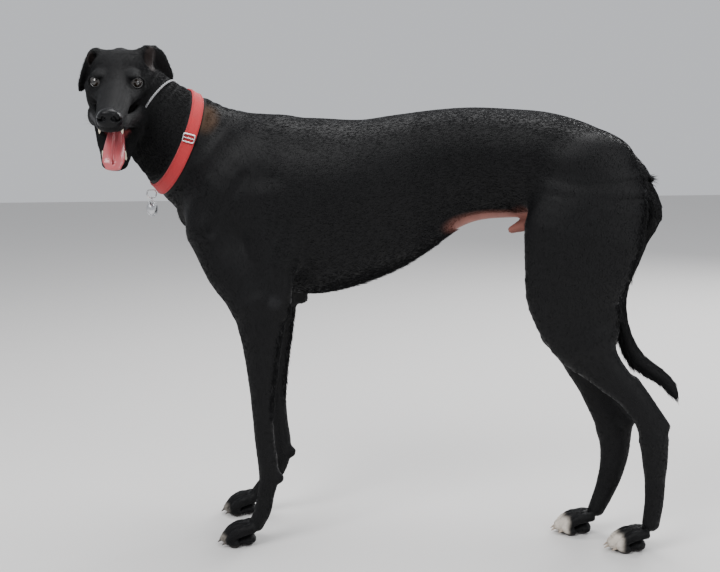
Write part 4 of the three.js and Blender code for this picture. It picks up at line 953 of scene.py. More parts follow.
class Shader:
    """A material that is put together node by node."""

    def __init__(self, name: str) -> None:
        """Starts a material with only its output."""
        self.material = bpy.data.materials.new(name)
        self.material.use_nodes = True
        self.tree = self.material.node_tree
        self.tree.nodes.clear()

    def node(self, kind: str, settings: dict[str, object] | None = None,
             inputs: dict[int | str, object] | None = None) -> MadeNode:
        """Adds a node.

        Args:
            kind: the node's type.
            settings: its own settings, with "stops" for a ramp's places and colours.
            inputs: values or sockets for its inputs, by number or name.

        Returns:
            The node made.
        """
        made = self.tree.nodes.new(kind)
        for key, value in (settings or {}).items():
            if key == "stops":
                ramp = made.color_ramp
                while len(ramp.elements) < len(value):
                    ramp.elements.new(1.0)
                for element, (place, colour) in zip(ramp.elements, value):
                    element.position = place
                    element.color = (*colour, 1.0)
            else:
                setattr(made, key, value)
        for key, value in (inputs or {}).items():
            if isinstance(value, Sock):
                self.tree.links.new(value.socket, made.inputs[key])
            else:
                made.inputs[key].default_value = value
        return MadeNode(self, made)

    def attribute(self, name: str, output: str = "Fac") -> Sock:
        """A value that the mesh carries."""
        settings = {"attribute_name": name, "attribute_type": "GEOMETRY"}
        return self.node("ShaderNodeAttribute", settings).out(output)

    def object_place(self) -> Sock:
        """The place in the object's own coordinates."""
        return self.node("ShaderNodeTexCoord").out("Object")

    def noise(self, scale: float, detail: float = 3.0, place: Sock | None = None) -> Sock:
        """A noise over the object's coordinates or another place."""
        inputs = {"Vector": place or self.object_place(), "Scale": scale, "Detail": detail}
        return self.node("ShaderNodeTexNoise", None, inputs).out(0)

    def colour(self, colour: Triple) -> Sock:
        """A plain colour."""
        made = self.node("ShaderNodeRGB")
        made.node.outputs[0].default_value = (*colour, 1.0)
        return made.out(0)

    def tint(self, colour: Sock, factor: Sock | float) -> Sock:
        """A colour made lighter or darker by a factor."""
        triple = self.node("ShaderNodeCombineXYZ", None, {0: factor, 1: factor, 2: factor}).out(0)
        settings = {"operation": "MULTIPLY"}
        return self.node("ShaderNodeVectorMath", settings, {0: colour, 1: triple}).out(0)

    def bump(self, height: Sock, strength: float, distance: float) -> Sock:
        """A normal that follows a height."""
        inputs = {"Height": height, "Strength": strength, "Distance": distance}
        return self.node("ShaderNodeBump", None, inputs).out("Normal")

    def finish(self, **inputs: object) -> bpy.types.Material:
        """Adds the surface and the output, with inputs named as on the surface."""
        names = {key.replace("_", " "): value for key, value in inputs.items()}
        surface = self.node("ShaderNodeBsdfPrincipled", None, names)
        self.node("ShaderNodeOutputMaterial", None, {"Surface": surface.out(0)})
        return self.material


@dataclass(frozen=True)
class CoatFinish:
    """Short black hair: a fine grain under a faint grey sheen, and pebbled skin where it is bare."""

    specular: float = 0.13
    sheen: float = 0.03
    sheen_roughness: float = 0.45
    sheen_tint: Quad = (0.55, 0.57, 0.62, 1.0)
    hair_scale: float = 1500.0
    patch_scale: float = 42.0
    pebble_scale: float = 900.0
    bump: float = 0.35
    bump_depth: float = 0.0008

    def material(self, name: str, is_hair: bool) -> bpy.types.Material:
        """The finish of the skin, or of the hair that stands on it."""
        shader = Shader(name)
        colour = shader.attribute("tone", "Color")
        rough = shader.attribute("rough")
        bare = shader.attribute("bare")
        fine = shader.noise(self.hair_scale, 2.0)
        patches = shader.noise(self.patch_scale, 3.0)
        factor = (0.62 + 0.5 * fine if is_hair else 0.6 + 0.45 * fine) + 0.35 * patches
        inputs: dict[str, object] = {
            "Base_Color": shader.tint(colour, factor),
            "Roughness": rough + 0.1 * (patches - 0.5),
            "Sheen_Weight": self.sheen,
            "Sheen_Roughness": self.sheen_roughness,
            "Sheen_Tint": self.sheen_tint,
            "Specular_IOR_Level": self.specular,
        }
        if not is_hair:
            pebble = shader.node(
                "ShaderNodeTexVoronoi", {"feature": "F1"},
                {"Vector": shader.object_place(), "Scale": self.pebble_scale},
            ).out("Distance")
            height = fine * (1 - bare) + pebble * bare * 0.5
            inputs["Normal"] = shader.bump(height, self.bump, self.bump_depth)
        return shader.finish(**inputs)


@dataclass(frozen=True)
class PlainFinish:
    """A finish of one colour with a fine grain."""

    colour: Triple
    roughness: float
    metallic: float = 0.0
    grain: float = 900.0
    unevenness: float = 0.2
    bump: float = 0.15
    clear: float = 0.0
    subsurface: float = 0.0

    def material(self, name: str) -> bpy.types.Material:
        """The material."""
        shader = Shader(name)
        grain = shader.noise(self.grain, 3.0)
        broad = shader.noise(self.grain / 14, 2.0)
        colour = shader.colour(self.colour)
        even = 1 - self.unevenness / 2
        return shader.finish(
            Base_Color=shader.tint(colour, even + self.unevenness * broad),
            Roughness=self.roughness + 0.12 * (grain - 0.5),
            Metallic=self.metallic,
            Coat_Weight=self.clear,
            Coat_Roughness=0.08,
            Subsurface_Weight=self.subsurface,
            Subsurface_Radius=(0.004, 0.0015, 0.001),
            Normal=shader.bump(grain, self.bump, 0.0004),
        )


@dataclass(frozen=True)
class EyeFinish:
    """Pupil, brown iris, dark rim and pale white under a wet surface.

    Each stop has the turn from the gaze, in radians, and the colour there.
    """

    STOPS = (
        (0.0, (0.002, 0.002, 0.002)), (0.30, (0.002, 0.002, 0.002)),
        (0.34, (0.012, 0.007, 0.0045)), (0.55, (0.022, 0.013, 0.008)),
        (0.66, (0.009, 0.006, 0.004)), (0.71, (0.006, 0.005, 0.004)),
        (0.76, (0.13, 0.125, 0.12)), (0.92, (0.20, 0.18, 0.17)),
    )
    streak_scale: float = 1900.0

    def material(self, name: str) -> bpy.types.Material:
        """The material, from how far each place is turned from the gaze."""
        shader = Shader(name)
        turn = shader.attribute("turn")
        streaks = shader.noise(self.streak_scale, 3.0)
        ramp = shader.node("ShaderNodeValToRGB", {"stops": self.STOPS}, {0: turn})
        return shader.finish(
            Base_Color=shader.tint(ramp.out(0), 0.6 + 0.8 * streaks),
            Roughness=0.07,
            Coat_Weight=1.0,
            Coat_Roughness=0.02,
        )


@dataclass(frozen=True)
class WebbingFinish:
    """Woven nylon: ribs across the tape, read from the tape's own map."""

    colour: Triple
    ribs: float = 210.0
    threads: float = 12.0
    wear_scale: float = 90.0

    def material(self, name: str) -> bpy.types.Material:
        """The material."""
        shader = Shader(name)
        apart = shader.node(
            "ShaderNodeSeparateXYZ", None, {0: shader.node("ShaderNodeUVMap", {"uv_map": "UVMap"}).out(0)}
        )
        along, across = apart.out(0), apart.out(1)
        wave = (along * (self.ribs * 2 * math.pi)).math("SINE")
        cross = (across * (self.threads * 2 * math.pi)).math("SINE")
        weave = wave * cross * 0.5 + 0.5
        colour = shader.colour(self.colour)
        worn = shader.noise(self.wear_scale, 4.0)
        return shader.finish(
            Base_Color=shader.tint(colour, 0.55 + 0.35 * weave + 0.3 * worn),
            Roughness=0.62 + 0.2 * worn,
            Sheen_Weight=0.15,
            Normal=shader.bump(weave, 0.7, 0.0007),
        )


def to_frame(points: np.ndarray) -> np.ndarray:
    """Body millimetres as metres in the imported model's frame."""
    return (np.asarray(points, float) + CENTRE) * MM


def mesh_object(name: str, points: np.ndarray, faces: np.ndarray, material: bpy.types.Material
                ) -> bpy.types.Object:
    """Makes an object with smooth shading from arrays.

    Args:
        name: the object's name.
        points: vertices in body millimetres.
        faces: rows of vertex numbers, all of one length.
        material: the finish.

    Returns:
        The object, linked to the scene.
    """
    mesh = bpy.data.meshes.new(name)
    count, sides = faces.shape
    mesh.vertices.add(len(points))
    mesh.vertices.foreach_set("co", to_frame(points).astype(np.float32).ravel())
    mesh.loops.add(count * sides)
    mesh.loops.foreach_set("vertex_index", faces.astype(np.int32).ravel())
    mesh.polygons.add(count)
    mesh.polygons.foreach_set("loop_start", np.arange(0, count * sides, sides, dtype=np.int32))
    mesh.polygons.foreach_set("use_smooth", np.full(count, True))
    mesh.update(calc_edges=True)
    mesh.validate()
    mesh.materials.append(material)
    made = bpy.data.objects.new(name, mesh)
    bpy.context.scene.collection.objects.link(made)
    return made


def add_values(made: bpy.types.Object, **values: np.ndarray) -> None:
    """Writes values or colours on the vertices of an object."""
    for name, rows in values.items():
        if rows.ndim == 2:
            layer = made.data.attributes.new(name, "FLOAT_COLOR", "POINT")
            full = np.concatenate([rows, np.ones((len(rows), 1))], axis=1)
            layer.data.foreach_set("color", full.astype(np.float32).ravel())
        else:
            layer = made.data.attributes.new(name, "FLOAT", "POINT")
            layer.data.foreach_set("value", rows.astype(np.float32))


def joined(pieces: Sequence[Pair]) -> Pair:
    """Several meshes with faces of the same kind as one."""
    points, faces, start = [], [], 0
    for p, f in pieces:
        points.append(p)
        faces.append(f + start)
        start += len(p)
    return np.concatenate(points), np.concatenate(faces)


def wall(rings: int, sides: int, closed: bool = False) -> list[tuple[int, int, int]]:
    """Triangles between neighbouring rings of vertices.

    Args:
        rings: how many rings there are.
        sides: how many vertices each ring has.
        closed: whether the last ring joins the first.

    Returns:
        The triangles, as vertex numbers.
    """
    faces = []
    for i in range(rings if closed else rings - 1):
        here, there = i * sides, (i + 1) % rings * sides
        for j in range(sides):
            k = (j + 1) % sides
            faces += [(here + j, here + k, there + k), (here + j, there + k, there + j)]
    return faces


def tube(places: np.ndarray, radii: np.ndarray, side: np.ndarray, sides: int = 12,
         closed: bool = False) -> Pair:
    """A tube of triangles along places.

    Args:
        places: the middle of each ring.
        radii: the depth and width radius at each place.
        side: a direction the rings keep to.
        sides: how many sides the tube has.
        closed: whether the last place joins the first.

    Returns:
        The vertices and triangles, with ends closed unless the tube is.
    """
    count = len(places)
    if closed:
        along = np.roll(places, -1, axis=0) - np.roll(places, 1, axis=0)
    else:
        along = np.gradient(places, axis=0)
    along /= np.linalg.norm(along, axis=1)[:, None]
    depth = np.cross(along, np.broadcast_to(side, along.shape))
    depth /= np.linalg.norm(depth, axis=1)[:, None]
    width = np.cross(depth, along)
    turn = np.arange(sides) / sides * 2 * np.pi
    points = (
        places[:, None] + depth[:, None] * (radii[:, :1] * np.cos(turn))[..., None]
        + width[:, None] * (radii[:, 1:] * np.sin(turn))[..., None]
    ).reshape(-1, 3)
    faces = wall(count, sides, closed)
    if not closed:
        for end in (0, count - 1):
            middle = len(points)
            points = np.vstack([points, places[end]])
            for j in range(sides):
                a, b = end * sides + j, end * sides + (j + 1) % sides
                faces.append((middle, b, a) if end == 0 else (middle, a, b))
    return points, outward(points, np.array(faces))


def outward(points: np.ndarray, faces: np.ndarray) -> np.ndarray:
    """The triangles with their faces outwards."""
    a, b, c = points[faces[:, 0]], points[faces[:, 1]], points[faces[:, 2]]
    volume = np.einsum("ij,ij->i", a, np.cross(b, c)).sum()
    return faces if volume > 0 else faces[:, ::-1]


@dataclass(frozen=True)
class NeckRing:
    """A ring round the neck, from a place on its plane and the plane's normal towards the head."""

    at: Triple
    normal: Triple

    def along(self, points: np.ndarray) -> np.ndarray:
        """How far each point lies towards the head from the ring's plane."""
        return (points - np.array(self.at)) @ unit(self.normal)

    def ring(self, offset: float, turns: int) -> Pair:
        """Places on the neck round the ring, and the way out at each.

        Args:
            offset: how far from the ring's plane, towards the head.
            turns: how many places.

        Returns:
            The places and the outward directions.
        """
        n = unit(self.normal)
        e1 = unit(np.array([0.0, 1.0, 0.0]) - n * n[1])
        e2 = np.cross(n, e1)
        turn = np.arange(turns) / turns * 2 * np.pi
        out = np.cos(turn)[:, None] * e1 + np.sin(turn)[:, None] * e2
        start = np.array(self.at) + n * offset
        low, high = np.full(turns, 20.0), np.full(turns, 140.0)
        for _ in range(24):
            middle = (low + high) / 2
            inside = NECK_TISSUE.at(start + out * middle[:, None]) < 0
            low = np.where(inside, middle, low)
            high = np.where(inside, high, middle)
        return start + out * low[:, None], out


NECK_TISSUE = Tissue([Trunk(), Limb(Body.NECK, blend=36)], depth=0.0, margin=40.0)
COLLAR = NeckRing((-405, -8, 697), (-0.776, -0.62, 0.4))
SLIP = NeckRing((-437, -18, 742), (-0.82, 0.08, 0.56))


@dataclass
class Spine:
    """A line inside a part of the body that its coat follows and that it is unwrapped round."""

    name: str
    places: np.ndarray
    radii: np.ndarray

    def nearest(self, points: np.ndarray) -> tuple[np.ndarray, np.ndarray, np.ndarray, np.ndarray]:
        """Where each point lies against the line.

        Args:
            points: places in millimetres.

        Returns:
            The distance over the part's radius, the direction of the line, the share of its
            length and the turn round it, both from 0 to 1.
        """
        best = np.full(len(points), np.inf)
        flow = np.zeros((len(points), 3))
        share, turn = np.zeros(len(points)), np.zeros(len(points))
        lengths = np.linalg.norm(np.diff(self.places, axis=0), axis=1)
        done = np.concatenate([[0], np.cumsum(lengths)])
        for i, length in enumerate(lengths):
            along = (self.places[i + 1] - self.places[i]) / length
            p = points - self.places[i]
            run = np.clip(p @ along, 0, length)
            away = p - run[:, None] * along
            radius = self.radii[i] + (self.radii[i + 1] - self.radii[i]) * run / length
            d = np.linalg.norm(away, axis=1) / radius
            closer = d < best
            side = unit(np.cross(along, (0.13, 1.0, 0.07)))
            up = np.cross(along, side)
            angle = np.arctan2(away @ up, away @ side) / (2 * np.pi) + 0.5
            best = np.where(closer, d, best)
            flow[closer] = along
            share = np.where(closer, (done[i] + run) / done[-1], share)
            turn = np.where(closer, angle, turn)
        return best, flow, share, turn


class Lie:
    """The lie of the coat: from the nose back, down the legs and out to the tip of the tail."""

    def __init__(self) -> None:
        """Lays a line through each part."""
        head = np.array([HEAD.point(124, 0, -20), HEAD.point(40, 0, -22), HEAD.point(-70, 0, -8)])
        neck = np.array([(-470, -26, 780), (-413, -12, 720), (-340, -4, 660)])
        trunk = np.array([(-345, 0, 580), (-180, 0, 585), (60, 0, 635), (200, 0, 650), (330, 0, 640)])
        tail = np.array([row[:3] for row in Body.TAIL])
        self.spines = [
            Spine("head", head, np.array([24, 34, 52])),
            Spine("neck", neck, np.array([58, 64, 76])),
            Spine("trunk", trunk, np.array([70, 112, 90, 78, 60])),
            Spine("tail", tail, np.linspace(19, 8, len(tail))),
        ]
        for side in Side:
            s, right = side.value, side is Side.RIGHT
            x = -13 if right else 0
            fore = np.array([
                (-262, 52 * s, 640), (-270, 66 * s, 540), (-245 + x, 72 * s, 418),
                (-247 + x, 76 * s, 250), (-244 + x, 76 * s, 118),
                (-262 + (-18 if right else 0), 77 * s, 50), (-312 + (-38 if right else 0), 77 * s, 14),
            ])
            hind = (
                [(296, 50, 620), (280, 57, 480), (268, 50, 358), (310, 47, 255), (342, 43, 188),
                 (333, 40, 105), (308, 38, 42), (248, 37, 14)]
                if right
                else [(300, 50, 620), (284, 60, 480), (290, 52, 358), (366, 48, 262), (403, 43, 192),
                      (404, 40, 105), (396, 38, 42), (338, 37, 14)]
            )
            rear = np.array(hind, float) * np.array([1, s, 1])
            self.spines.append(Spine("fore", fore, np.array([46, 46, 32, 18, 17, 16, 15])))
            self.spines.append(Spine("hind", rear, np.array([66, 72, 46, 22, 18, 16, 16, 15])))

    def read(self, points: np.ndarray) -> tuple[np.ndarray, np.ndarray, np.ndarray]:
        """The part, the lie and the unwrapped place of each point.

        Args:
            points: places in millimetres.

        Returns:
            The number of the spine, the direction the hair lies in, and a place on the
            unwrap of that spine's part.
        """
        found = [spine.nearest(points) for spine in self.spines]
        distances = np.array([f[0] for f in found])
        weights = 1 / np.maximum(distances, 0.15) ** 6
        flow = np.einsum("sn,snk->nk", weights, np.array([f[1] for f in found]))
        flow = unit_rows(flow)
        which = distances.argmin(axis=0)
        picked = (which, np.arange(len(points)))
        share = np.array([f[2] for f in found])[picked]
        turn = np.array([f[3] for f in found])[picked]
        legs = np.array([0.0, 0.0, 0.0, 0.0, 0.0, 0.0, 0.5, 0.5])[which]
        halves = np.isin(which, (4, 5, 6, 7))
        u = np.where(halves, legs + 0.5 * share, share)
        return which, flow, 0.01 + 0.98 * np.stack([u, turn], axis=1)


@dataclass
class Skin:
    """One closed sheet over the flesh on one side of a plane that the collar covers."""

    name: str
    tissue: Tissue
    lines: Sequence[np.ndarray]
    keep: HalfSpace
    nodes: Sequence[str]
    floor: float = 0.75
    cut_edge: float = 1.5
    settle_reach: float = 4.0

    def mesh(self) -> None:
        """Makes the vertices, quads and outward directions."""
        values = self.tissue.on_grid(self.lines)
        grid = np.meshgrid(*self.lines, indexing="ij", sparse=True)
        n = unit(self.keep.normal)
        plane = sum((g - a) * k for g, a, k in zip(grid, self.keep.at, n))
        values = np.maximum(values, plane.astype(np.float32))
        points, self.quads = surface_nets(values, self.lines)
        near = np.abs(self.tissue.at(points)) < self.settle_reach
        free = (self.keep.outside(points) < -self.cut_edge) & near
        points[free] = settle(points[free], self.tissue)
        points[:, 2] = np.maximum(points[:, 2], self.floor)
        self.points = points
        self.normals = unit_rows(self.tissue.slope(points))

    def dress(self, finish: CoatFinish, markings: Markings) -> bpy.types.Object:
        """Makes the object with its markings."""
        made = mesh_object(self.name, self.points, self.quads, finish.material("skin_" + self.name, False))
        tone, rough, bare = markings.tones(self.points)
        add_values(made, tone=tone, rough=rough, bare=bare)
        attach(made, "root")
        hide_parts(*self.nodes)
        return made


@dataclass
class Fur:
    """Short hair that stands on the skin in thin tufts, longest where the outline shows it."""

    lie: Lie
    markings: Markings
    counts: dict[str, int] = field(default_factory=lambda: {
        "head": 44000, "neck": 40000, "chest": 44000, "loin": 44000, "tail": 16000,
        "fore": 44000, "hind": 48000,
    })
    seed: int = 20261
    quick_roots: int = 60000
    full_roots: int = 560000
    most_bare: float = 0.45
    collar_gap: float = 14.0
    collar_reach: float = 140.0
    floor_gap: float = 6.0
    eye_at: Triple = (4.0, 33.0, 0.0)
    eye_gap: float = 12.0
    box_gap: float = 0.3

    LENGTHS = {"head": 2.4, "neck": 4.0, "chest": 4.2, "loin": 4.2, "tail": 6.0, "fore": 3.6, "hind": 3.8}
    FRINGE = 9.0
    FORE_FRINGE = 6.0

    def part_names(self, which: np.ndarray, points: np.ndarray) -> np.ndarray:
        """The coat piece that each root belongs to."""
        names = np.array([spine.name for spine in self.lie.spines])[which]
        names = np.where((names == "trunk") & (points[:, 0] < 10), "chest", names)
        return np.where(names == "trunk", "loin", names)

    def lengths(self, points: np.ndarray, normals: np.ndarray, part: str) -> Pair:
        """How long the hair is at each root, and how far it stands off the skin."""
        x, _, z = points.T
        length = np.full(len(points), self.LENGTHS[part])
        edge = np.zeros(len(points))
        if part in ("chest", "loin"):
            edge = smooth_step(-normals[:, 2], 0.55, 0.95) * smooth_step(x, -230, -80)
        elif part == "hind":
            edge = smooth_step(normals[:, 0], 0.55, 0.9) * smooth_step(z, 360, 420)
        elif part == "fore":
            edge = smooth_step(normals[:, 0], 0.5, 0.9) * smooth_step(z, 200, 260)
        elif part == "tail":
            edge = smooth_step(normals[:, 0], -0.1, -0.7)
        elif part == "head":
            f, _, _ = HEAD.local(points).T
            length = 1.9 + 2.4 * smooth_step(f, 60, -60)
        length = length + edge * (self.FORE_FRINGE if part == "fore" else self.FRINGE)
        length = np.where(z < 70, np.minimum(length, 3.4), length)
        return length, 0.08 + 0.22 * edge

    def roots(self, skins: Sequence[Skin], rng: np.random.Generator, count: int) -> Pair:
        """Random places spread evenly over the skins, and the way out at each."""
        rows, outs, areas = [], [], []
        for skin in skins:
            for corners in ((0, 1, 2), (0, 2, 3)):
                tri = skin.quads[:, corners]
                a, b, c = (skin.points[tri[:, i]] for i in range(3))
                areas.append(np.linalg.norm(np.cross(b - a, c - a), axis=1) / 2)
                rows.append(np.stack([a, b, c], axis=1))
                outs.append(np.stack([skin.normals[tri[:, i]] for i in range(3)], axis=1))
        area = np.concatenate(areas)
        middle = np.concatenate(rows)
        out = np.concatenate(outs)
        on_head = np.linalg.norm(middle[:, 0] - HEAD.point(0, 0, -20), axis=1) < 150
        weight = area * np.where(on_head, 2.6, np.where(middle[:, 0, 2] < 120, 1.8, 1.0))
        picked = rng.choice(len(area), size=count, p=weight / weight.sum())
        w = rng.dirichlet((1, 1, 1), size=count)
        places = np.einsum("nk,nkj->nj", w, middle[picked])
        normals = np.einsum("nk,nkj->nj", w, out[picked])
        return places, unit_rows(normals)

    def build(self, skins: Sequence[Skin], finish: CoatFinish) -> list[bpy.types.Object]:
        """Makes the coat, one piece for each part.

        Args:
            skins: the sheets that the hair grows on.
            finish: the look of the hair.

        Returns:
            The pieces.
        """
        rng = np.random.default_rng(self.seed)
        points, normals = self.roots(skins, rng, self.full_roots)
        _, _, bare = self.markings.tones(points)
        behind_band = np.abs(COLLAR.along(points)) < self.collar_gap
        near_neck = np.linalg.norm(points - np.array(COLLAR.at), axis=1) < self.collar_reach
        from_eyes = np.linalg.norm(np.abs(HEAD.local(points)) - np.array(self.eye_at), axis=1)
        free = (bare < self.most_bare) & ~(behind_band & near_neck)
        free &= (points[:, 2] > self.floor_gap) & (from_eyes > self.eye_gap)
        points, normals = points[free], normals[free]
        which, flow, chart = self.lie.read(points)
        parts = self.part_names(which, points)
        material = finish.material("coat_hair", True)
        made = []
        for part, most in self.counts.items():
            rows = np.flatnonzero(parts == part)[:most]
            made.append(
                self.piece(part, points[rows], normals[rows], flow[rows], chart[rows], rng, material)
            )
        return made

    def piece(self, part: str, roots: np.ndarray, normals: np.ndarray, flow: np.ndarray,
              chart: np.ndarray, rng: np.random.Generator, material: bpy.types.Material
              ) -> bpy.types.Object:
        """One piece of coat: a thin three-sided tuft at each root."""
        count = len(roots)
        length, lift = self.lengths(roots, normals, part)
        length = length * rng.uniform(0.7, 1.3, count)
        sway = rng.normal(0, 0.09, (count, 3))
        lie = flow + sway
        lie -= normals * np.einsum("ij,ij->i", lie, normals)[:, None]
        lie = unit_rows(lie)
        side = np.cross(normals, lie)
        width = (0.34 + 0.055 * length)[:, None]
        lifted = (lift * rng.uniform(0.5, 1.5, count))[:, None]
        low = roots - normals * 0.5
        tip = roots + lie * length[:, None] + normals * (length[:, None] * lifted)
        corners = np.stack(
            [low + side * width / 2, low - side * width / 2, low + normals * (0.5 + width * 0.45), tip],
            axis=1,
        )
        box_low, box_high = np.array(CAD_BOX) / MM - CENTRE
        points = np.clip(corners.reshape(-1, 3), box_low + self.box_gap, box_high - self.box_gap)
        shape = np.array([(0, 1, 2), (0, 3, 1), (1, 3, 2), (2, 3, 0)])
        faces = (np.arange(count)[:, None, None] * 4 + shape).reshape(-1, 3)
        a, b, c, d = (corners[0][i] for i in range(4))
        if np.dot(np.cross(b - a, c - a), d - a) > 0:
            faces = faces[:, ::-1]
        made = mesh_object("coat_" + part, points, faces, material)
        tone, rough, bare = self.markings.tones(roots)
        shade = rng.uniform(0.85, 1.3, count)[:, None]
        add_values(
            made, tone=np.repeat(tone * shade, 4, axis=0), rough=np.repeat(rough, 4),
            bare=np.repeat(bare, 4),
        )
        spread = 0.0015 * np.array([(-1, -1), (1, -1), (0, 0.4), (0, 1)])
        place = (chart[:, None] + spread).reshape(-1, 2)
        layer = made.data.uv_layers.new(name="OFBake")
        corner = np.empty(len(made.data.loops), np.int32)
        made.data.loops.foreach_get("vertex_index", corner)
        layer.data.foreach_set("uv", place[corner].astype(np.float32).ravel())
        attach(made, "root")
        return made


def dressed(name: str, mesh: Pair, material: bpy.types.Material,
            nodes: Sequence[str] = ()) -> bpy.types.Object:
    """Makes a piece and says what it stands for.

    Args:
        name: the piece's name.
        mesh: its vertices in body millimetres, and its faces.
        material: its finish.
        nodes: the solids that it takes the place of.

    Returns:
        The object.
    """
    made = mesh_object(name, *mesh, material)
    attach(made, "root")
    if nodes:
        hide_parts(*nodes)
    return made


@dataclass
class Eyes:
    """Both eyes and the wet rims of their lids."""

    radius: float = 10.5
    cornea: float = 0.7
    rim: float = 1.05
    rim_at: float = 11.0
    rim_along: float = 0.88
    rim_up: float = 0.74
    rings: int = 56
    sides: int = 56

    def ball(self, lr: int) -> tuple[np.ndarray, np.ndarray, np.ndarray]:
        """An eyeball with its pole towards the gaze, and each vertex's turn from it."""
        out, along, up = HeadFlesh().eye_frame(lr)
        turns = np.linspace(0, math.pi, self.rings + 1)
        around = np.arange(self.sides) / self.sides * 2 * math.pi
        reach = self.radius + self.cornea * smooth_step(turns, 0.62, 0.2)
        points, turn = [], []
        for t, r in zip(turns, reach):
            ring = (
                out * math.cos(t)
                + (np.cos(around)[:, None] * along + np.sin(around)[:, None] * up) * math.sin(t)
            )
            points.append(HeadFlesh().eye_centre(lr) + ring * r)
            turn.append(np.full(self.sides, t))
        places = np.concatenate(points)
        faces = np.array(wall(self.rings + 1, self.sides))
        return places, outward(places, faces), np.concatenate(turn)

    def lid(self, lr: int) -> Pair:
        """The rim of the lids: an almond round the eye, drawn out at the inner corner."""
        out, along, up = HeadFlesh().eye_frame(lr)
        turn = np.arange(64) / 64 * 2 * math.pi
        a = self.rim_along * np.cos(turn)
        inner = math.pi if lr > 0 else 0.0
        away = np.mod(turn - inner + math.pi, 2 * math.pi) - math.pi
        corner = 1 + 0.10 * np.exp(-(away**2) / 0.08)
        b = self.rim_up * np.sign(np.sin(turn)) * np.abs(np.sin(turn)) ** 1.15
        c = np.sqrt(np.maximum(1 - a * a - b * b, 0.08))
        ways = out * c[:, None] + along * (a * corner)[:, None] + up * b[:, None]
        places = HeadFlesh().eye_centre(lr) + ways * self.rim_at
        radii = np.full((64, 2), self.rim)
        return tube(places, radii, out, 10, closed=True)

    def build(self) -> list[bpy.types.Object]:
        """Makes both eyes and the rims."""
        wet = EyeFinish().material("eye_surface")
        rim = PlainFinish((0.008, 0.007, 0.007), 0.22, clear=0.4).material("eye_rim")
        made = []
        for name, lr in (("left_eye", 1), ("right_eye", -1)):
            points, faces, turn = self.ball(lr)
            eye = dressed(name + "_ball", (points, faces), wet, [name])
            add_values(eye, turn=turn)
            made += [eye, dressed(name + "_rim", self.lid(lr), rim)]
        return made


def horn(root: np.ndarray, way: np.ndarray, length: float, radius: float, sag: float,
         sides: int = 12, flat: float = 0.75) -> Pair:
    """A curved tapering horn, such as a claw or a tooth.

    Args:
        root: its root.
        way: the way it points at its root.
        length: its length.
        radius: its radius at the root.
        sag: how far its middle bows up.
        sides: how many sides it has.
        flat: its width over its depth.

    Returns:
        Vertices and triangles.
    """
    t = np.linspace(0, 1, 9)
    places = root + way * (t * length)[:, None] + UP * (4 * sag * t * (1 - t))[:, None]
    size = radius * (1 - t**1.8) ** 0.7 * (1 - 0.1 * t) + 0.12
    return tube(places, np.stack([size, size * flat], axis=1), np.array([0.0, 1.0, 0.02]), sides)


@dataclass
class Claws:
    """A worn claw on each of the sixteen toes: dark on the fore feet and pale on the hind feet."""

    length: float = 16.0
    radius: float = 2.9
    sag: float = 1.0

    def build(self) -> list[bpy.types.Object]:
        """Makes the claws of the fore and hind feet."""
        pale = PlainFinish((0.36, 0.30, 0.24), 0.38, grain=600, clear=0.15).material("claw_pale")
        dark = PlainFinish((0.075, 0.065, 0.058), 0.38, grain=600, clear=0.15).material("claw_dark")
        made = []
        for name, paw in PAWS.items():
            pieces = []
            for across, ahead, y, _ in paw.toes():
                root = np.array([paw.at[0] - 18.0 - ahead, y, 12.0])
                way = unit((-1.0, across * 0.12, -0.62))
                pieces.append(horn(root, way, self.length, self.radius, self.sag))
            points, faces = joined(pieces)
            points[:, 2] = np.maximum(points[:, 2], 0.8)
            finish = pale if name.startswith("rear") else dark
            made.append(dressed("claws_" + name, (points, faces), finish))
        return made


@dataclass
class Mouth:
    """Teeth and tongue of the open mouth.

    A tooth has its place forward, left and up, its length, radius and lean, and whether it points
    down. A row of the tongue has its place forward and up, its half depth and its half width.
    """

    TEETH = (
        (103, 16.5, -34, 15, 3.2, 0.12, True), (113, 2.4, -33, 8, 2.2, 0, True),
        (111.5, 6.7, -33, 8, 2.2, 0, True), (109.5, 11, -33, 9, 2.4, 0, True),
        (72, 16.5, -106, 20, 3.2, 0.1, False),
    )
    TONGUE = ((34, -73, 5.5, 13), (56, -82, 5.5, 16), (78, -92, 5.2, 18.5), (94, -101, 4.6, 18),
              (101, -110, 3.6, 13))
    cell: float = 1.5

    def teeth(self) -> Pair:
        """The canines and upper incisors."""
        pieces = []
        for f, l, u, length, radius, lean, down in self.TEETH:
            for lr in (1, -1):
                way = HEAD.direction(0.16 if down else 0.4, lr * lean, -1 if down else 1)
                pieces.append(horn(HEAD.point(f, lr * l, u), way, length, radius, 0.0, 12, 0.85))
        return joined(pieces)

    def tongue(self) -> Pair:
        """The tongue, with the groove along its middle."""
        rows = [(*HEAD.point(f, 0, u), a, b) for f, u, a, b in self.TONGUE]
        groove = [(*HEAD.point(f - 4, 0, u + a + 1.6), 2.4, 2.0) for f, u, a, _ in self.TONGUE]
        left = HEAD.axes()[1]
        tissue = Tissue(
            [Limb(rows, left, steps=4), Limb(groove, left, blend=3.5, op=Blend.CUT, steps=4)], 0.2
        )
        low, high = tissue.shapes[0].box()
        lines = [np.arange(a - 4, b + 4, self.cell) for a, b in zip(low, high)]
        points, quads = surface_nets(tissue.on_grid(lines), lines)
        return settle(points, tissue), quads

    def build(self) -> list[bpy.types.Object]:
        """Makes the teeth and the tongue."""
        ivory = PlainFinish((0.66, 0.60, 0.47), 0.22, grain=400, clear=0.5).material("tooth_ivory")
        pink = PlainFinish((0.42, 0.085, 0.095), 0.30, grain=1100, bump=0.5, clear=0.35,
                           subsurface=0.15).material("tongue_pink")
        return [
            dressed("teeth", self.teeth(), ivory),
            dressed("tongue_grooved", self.tongue(), pink, ["tongue"]),
        ]


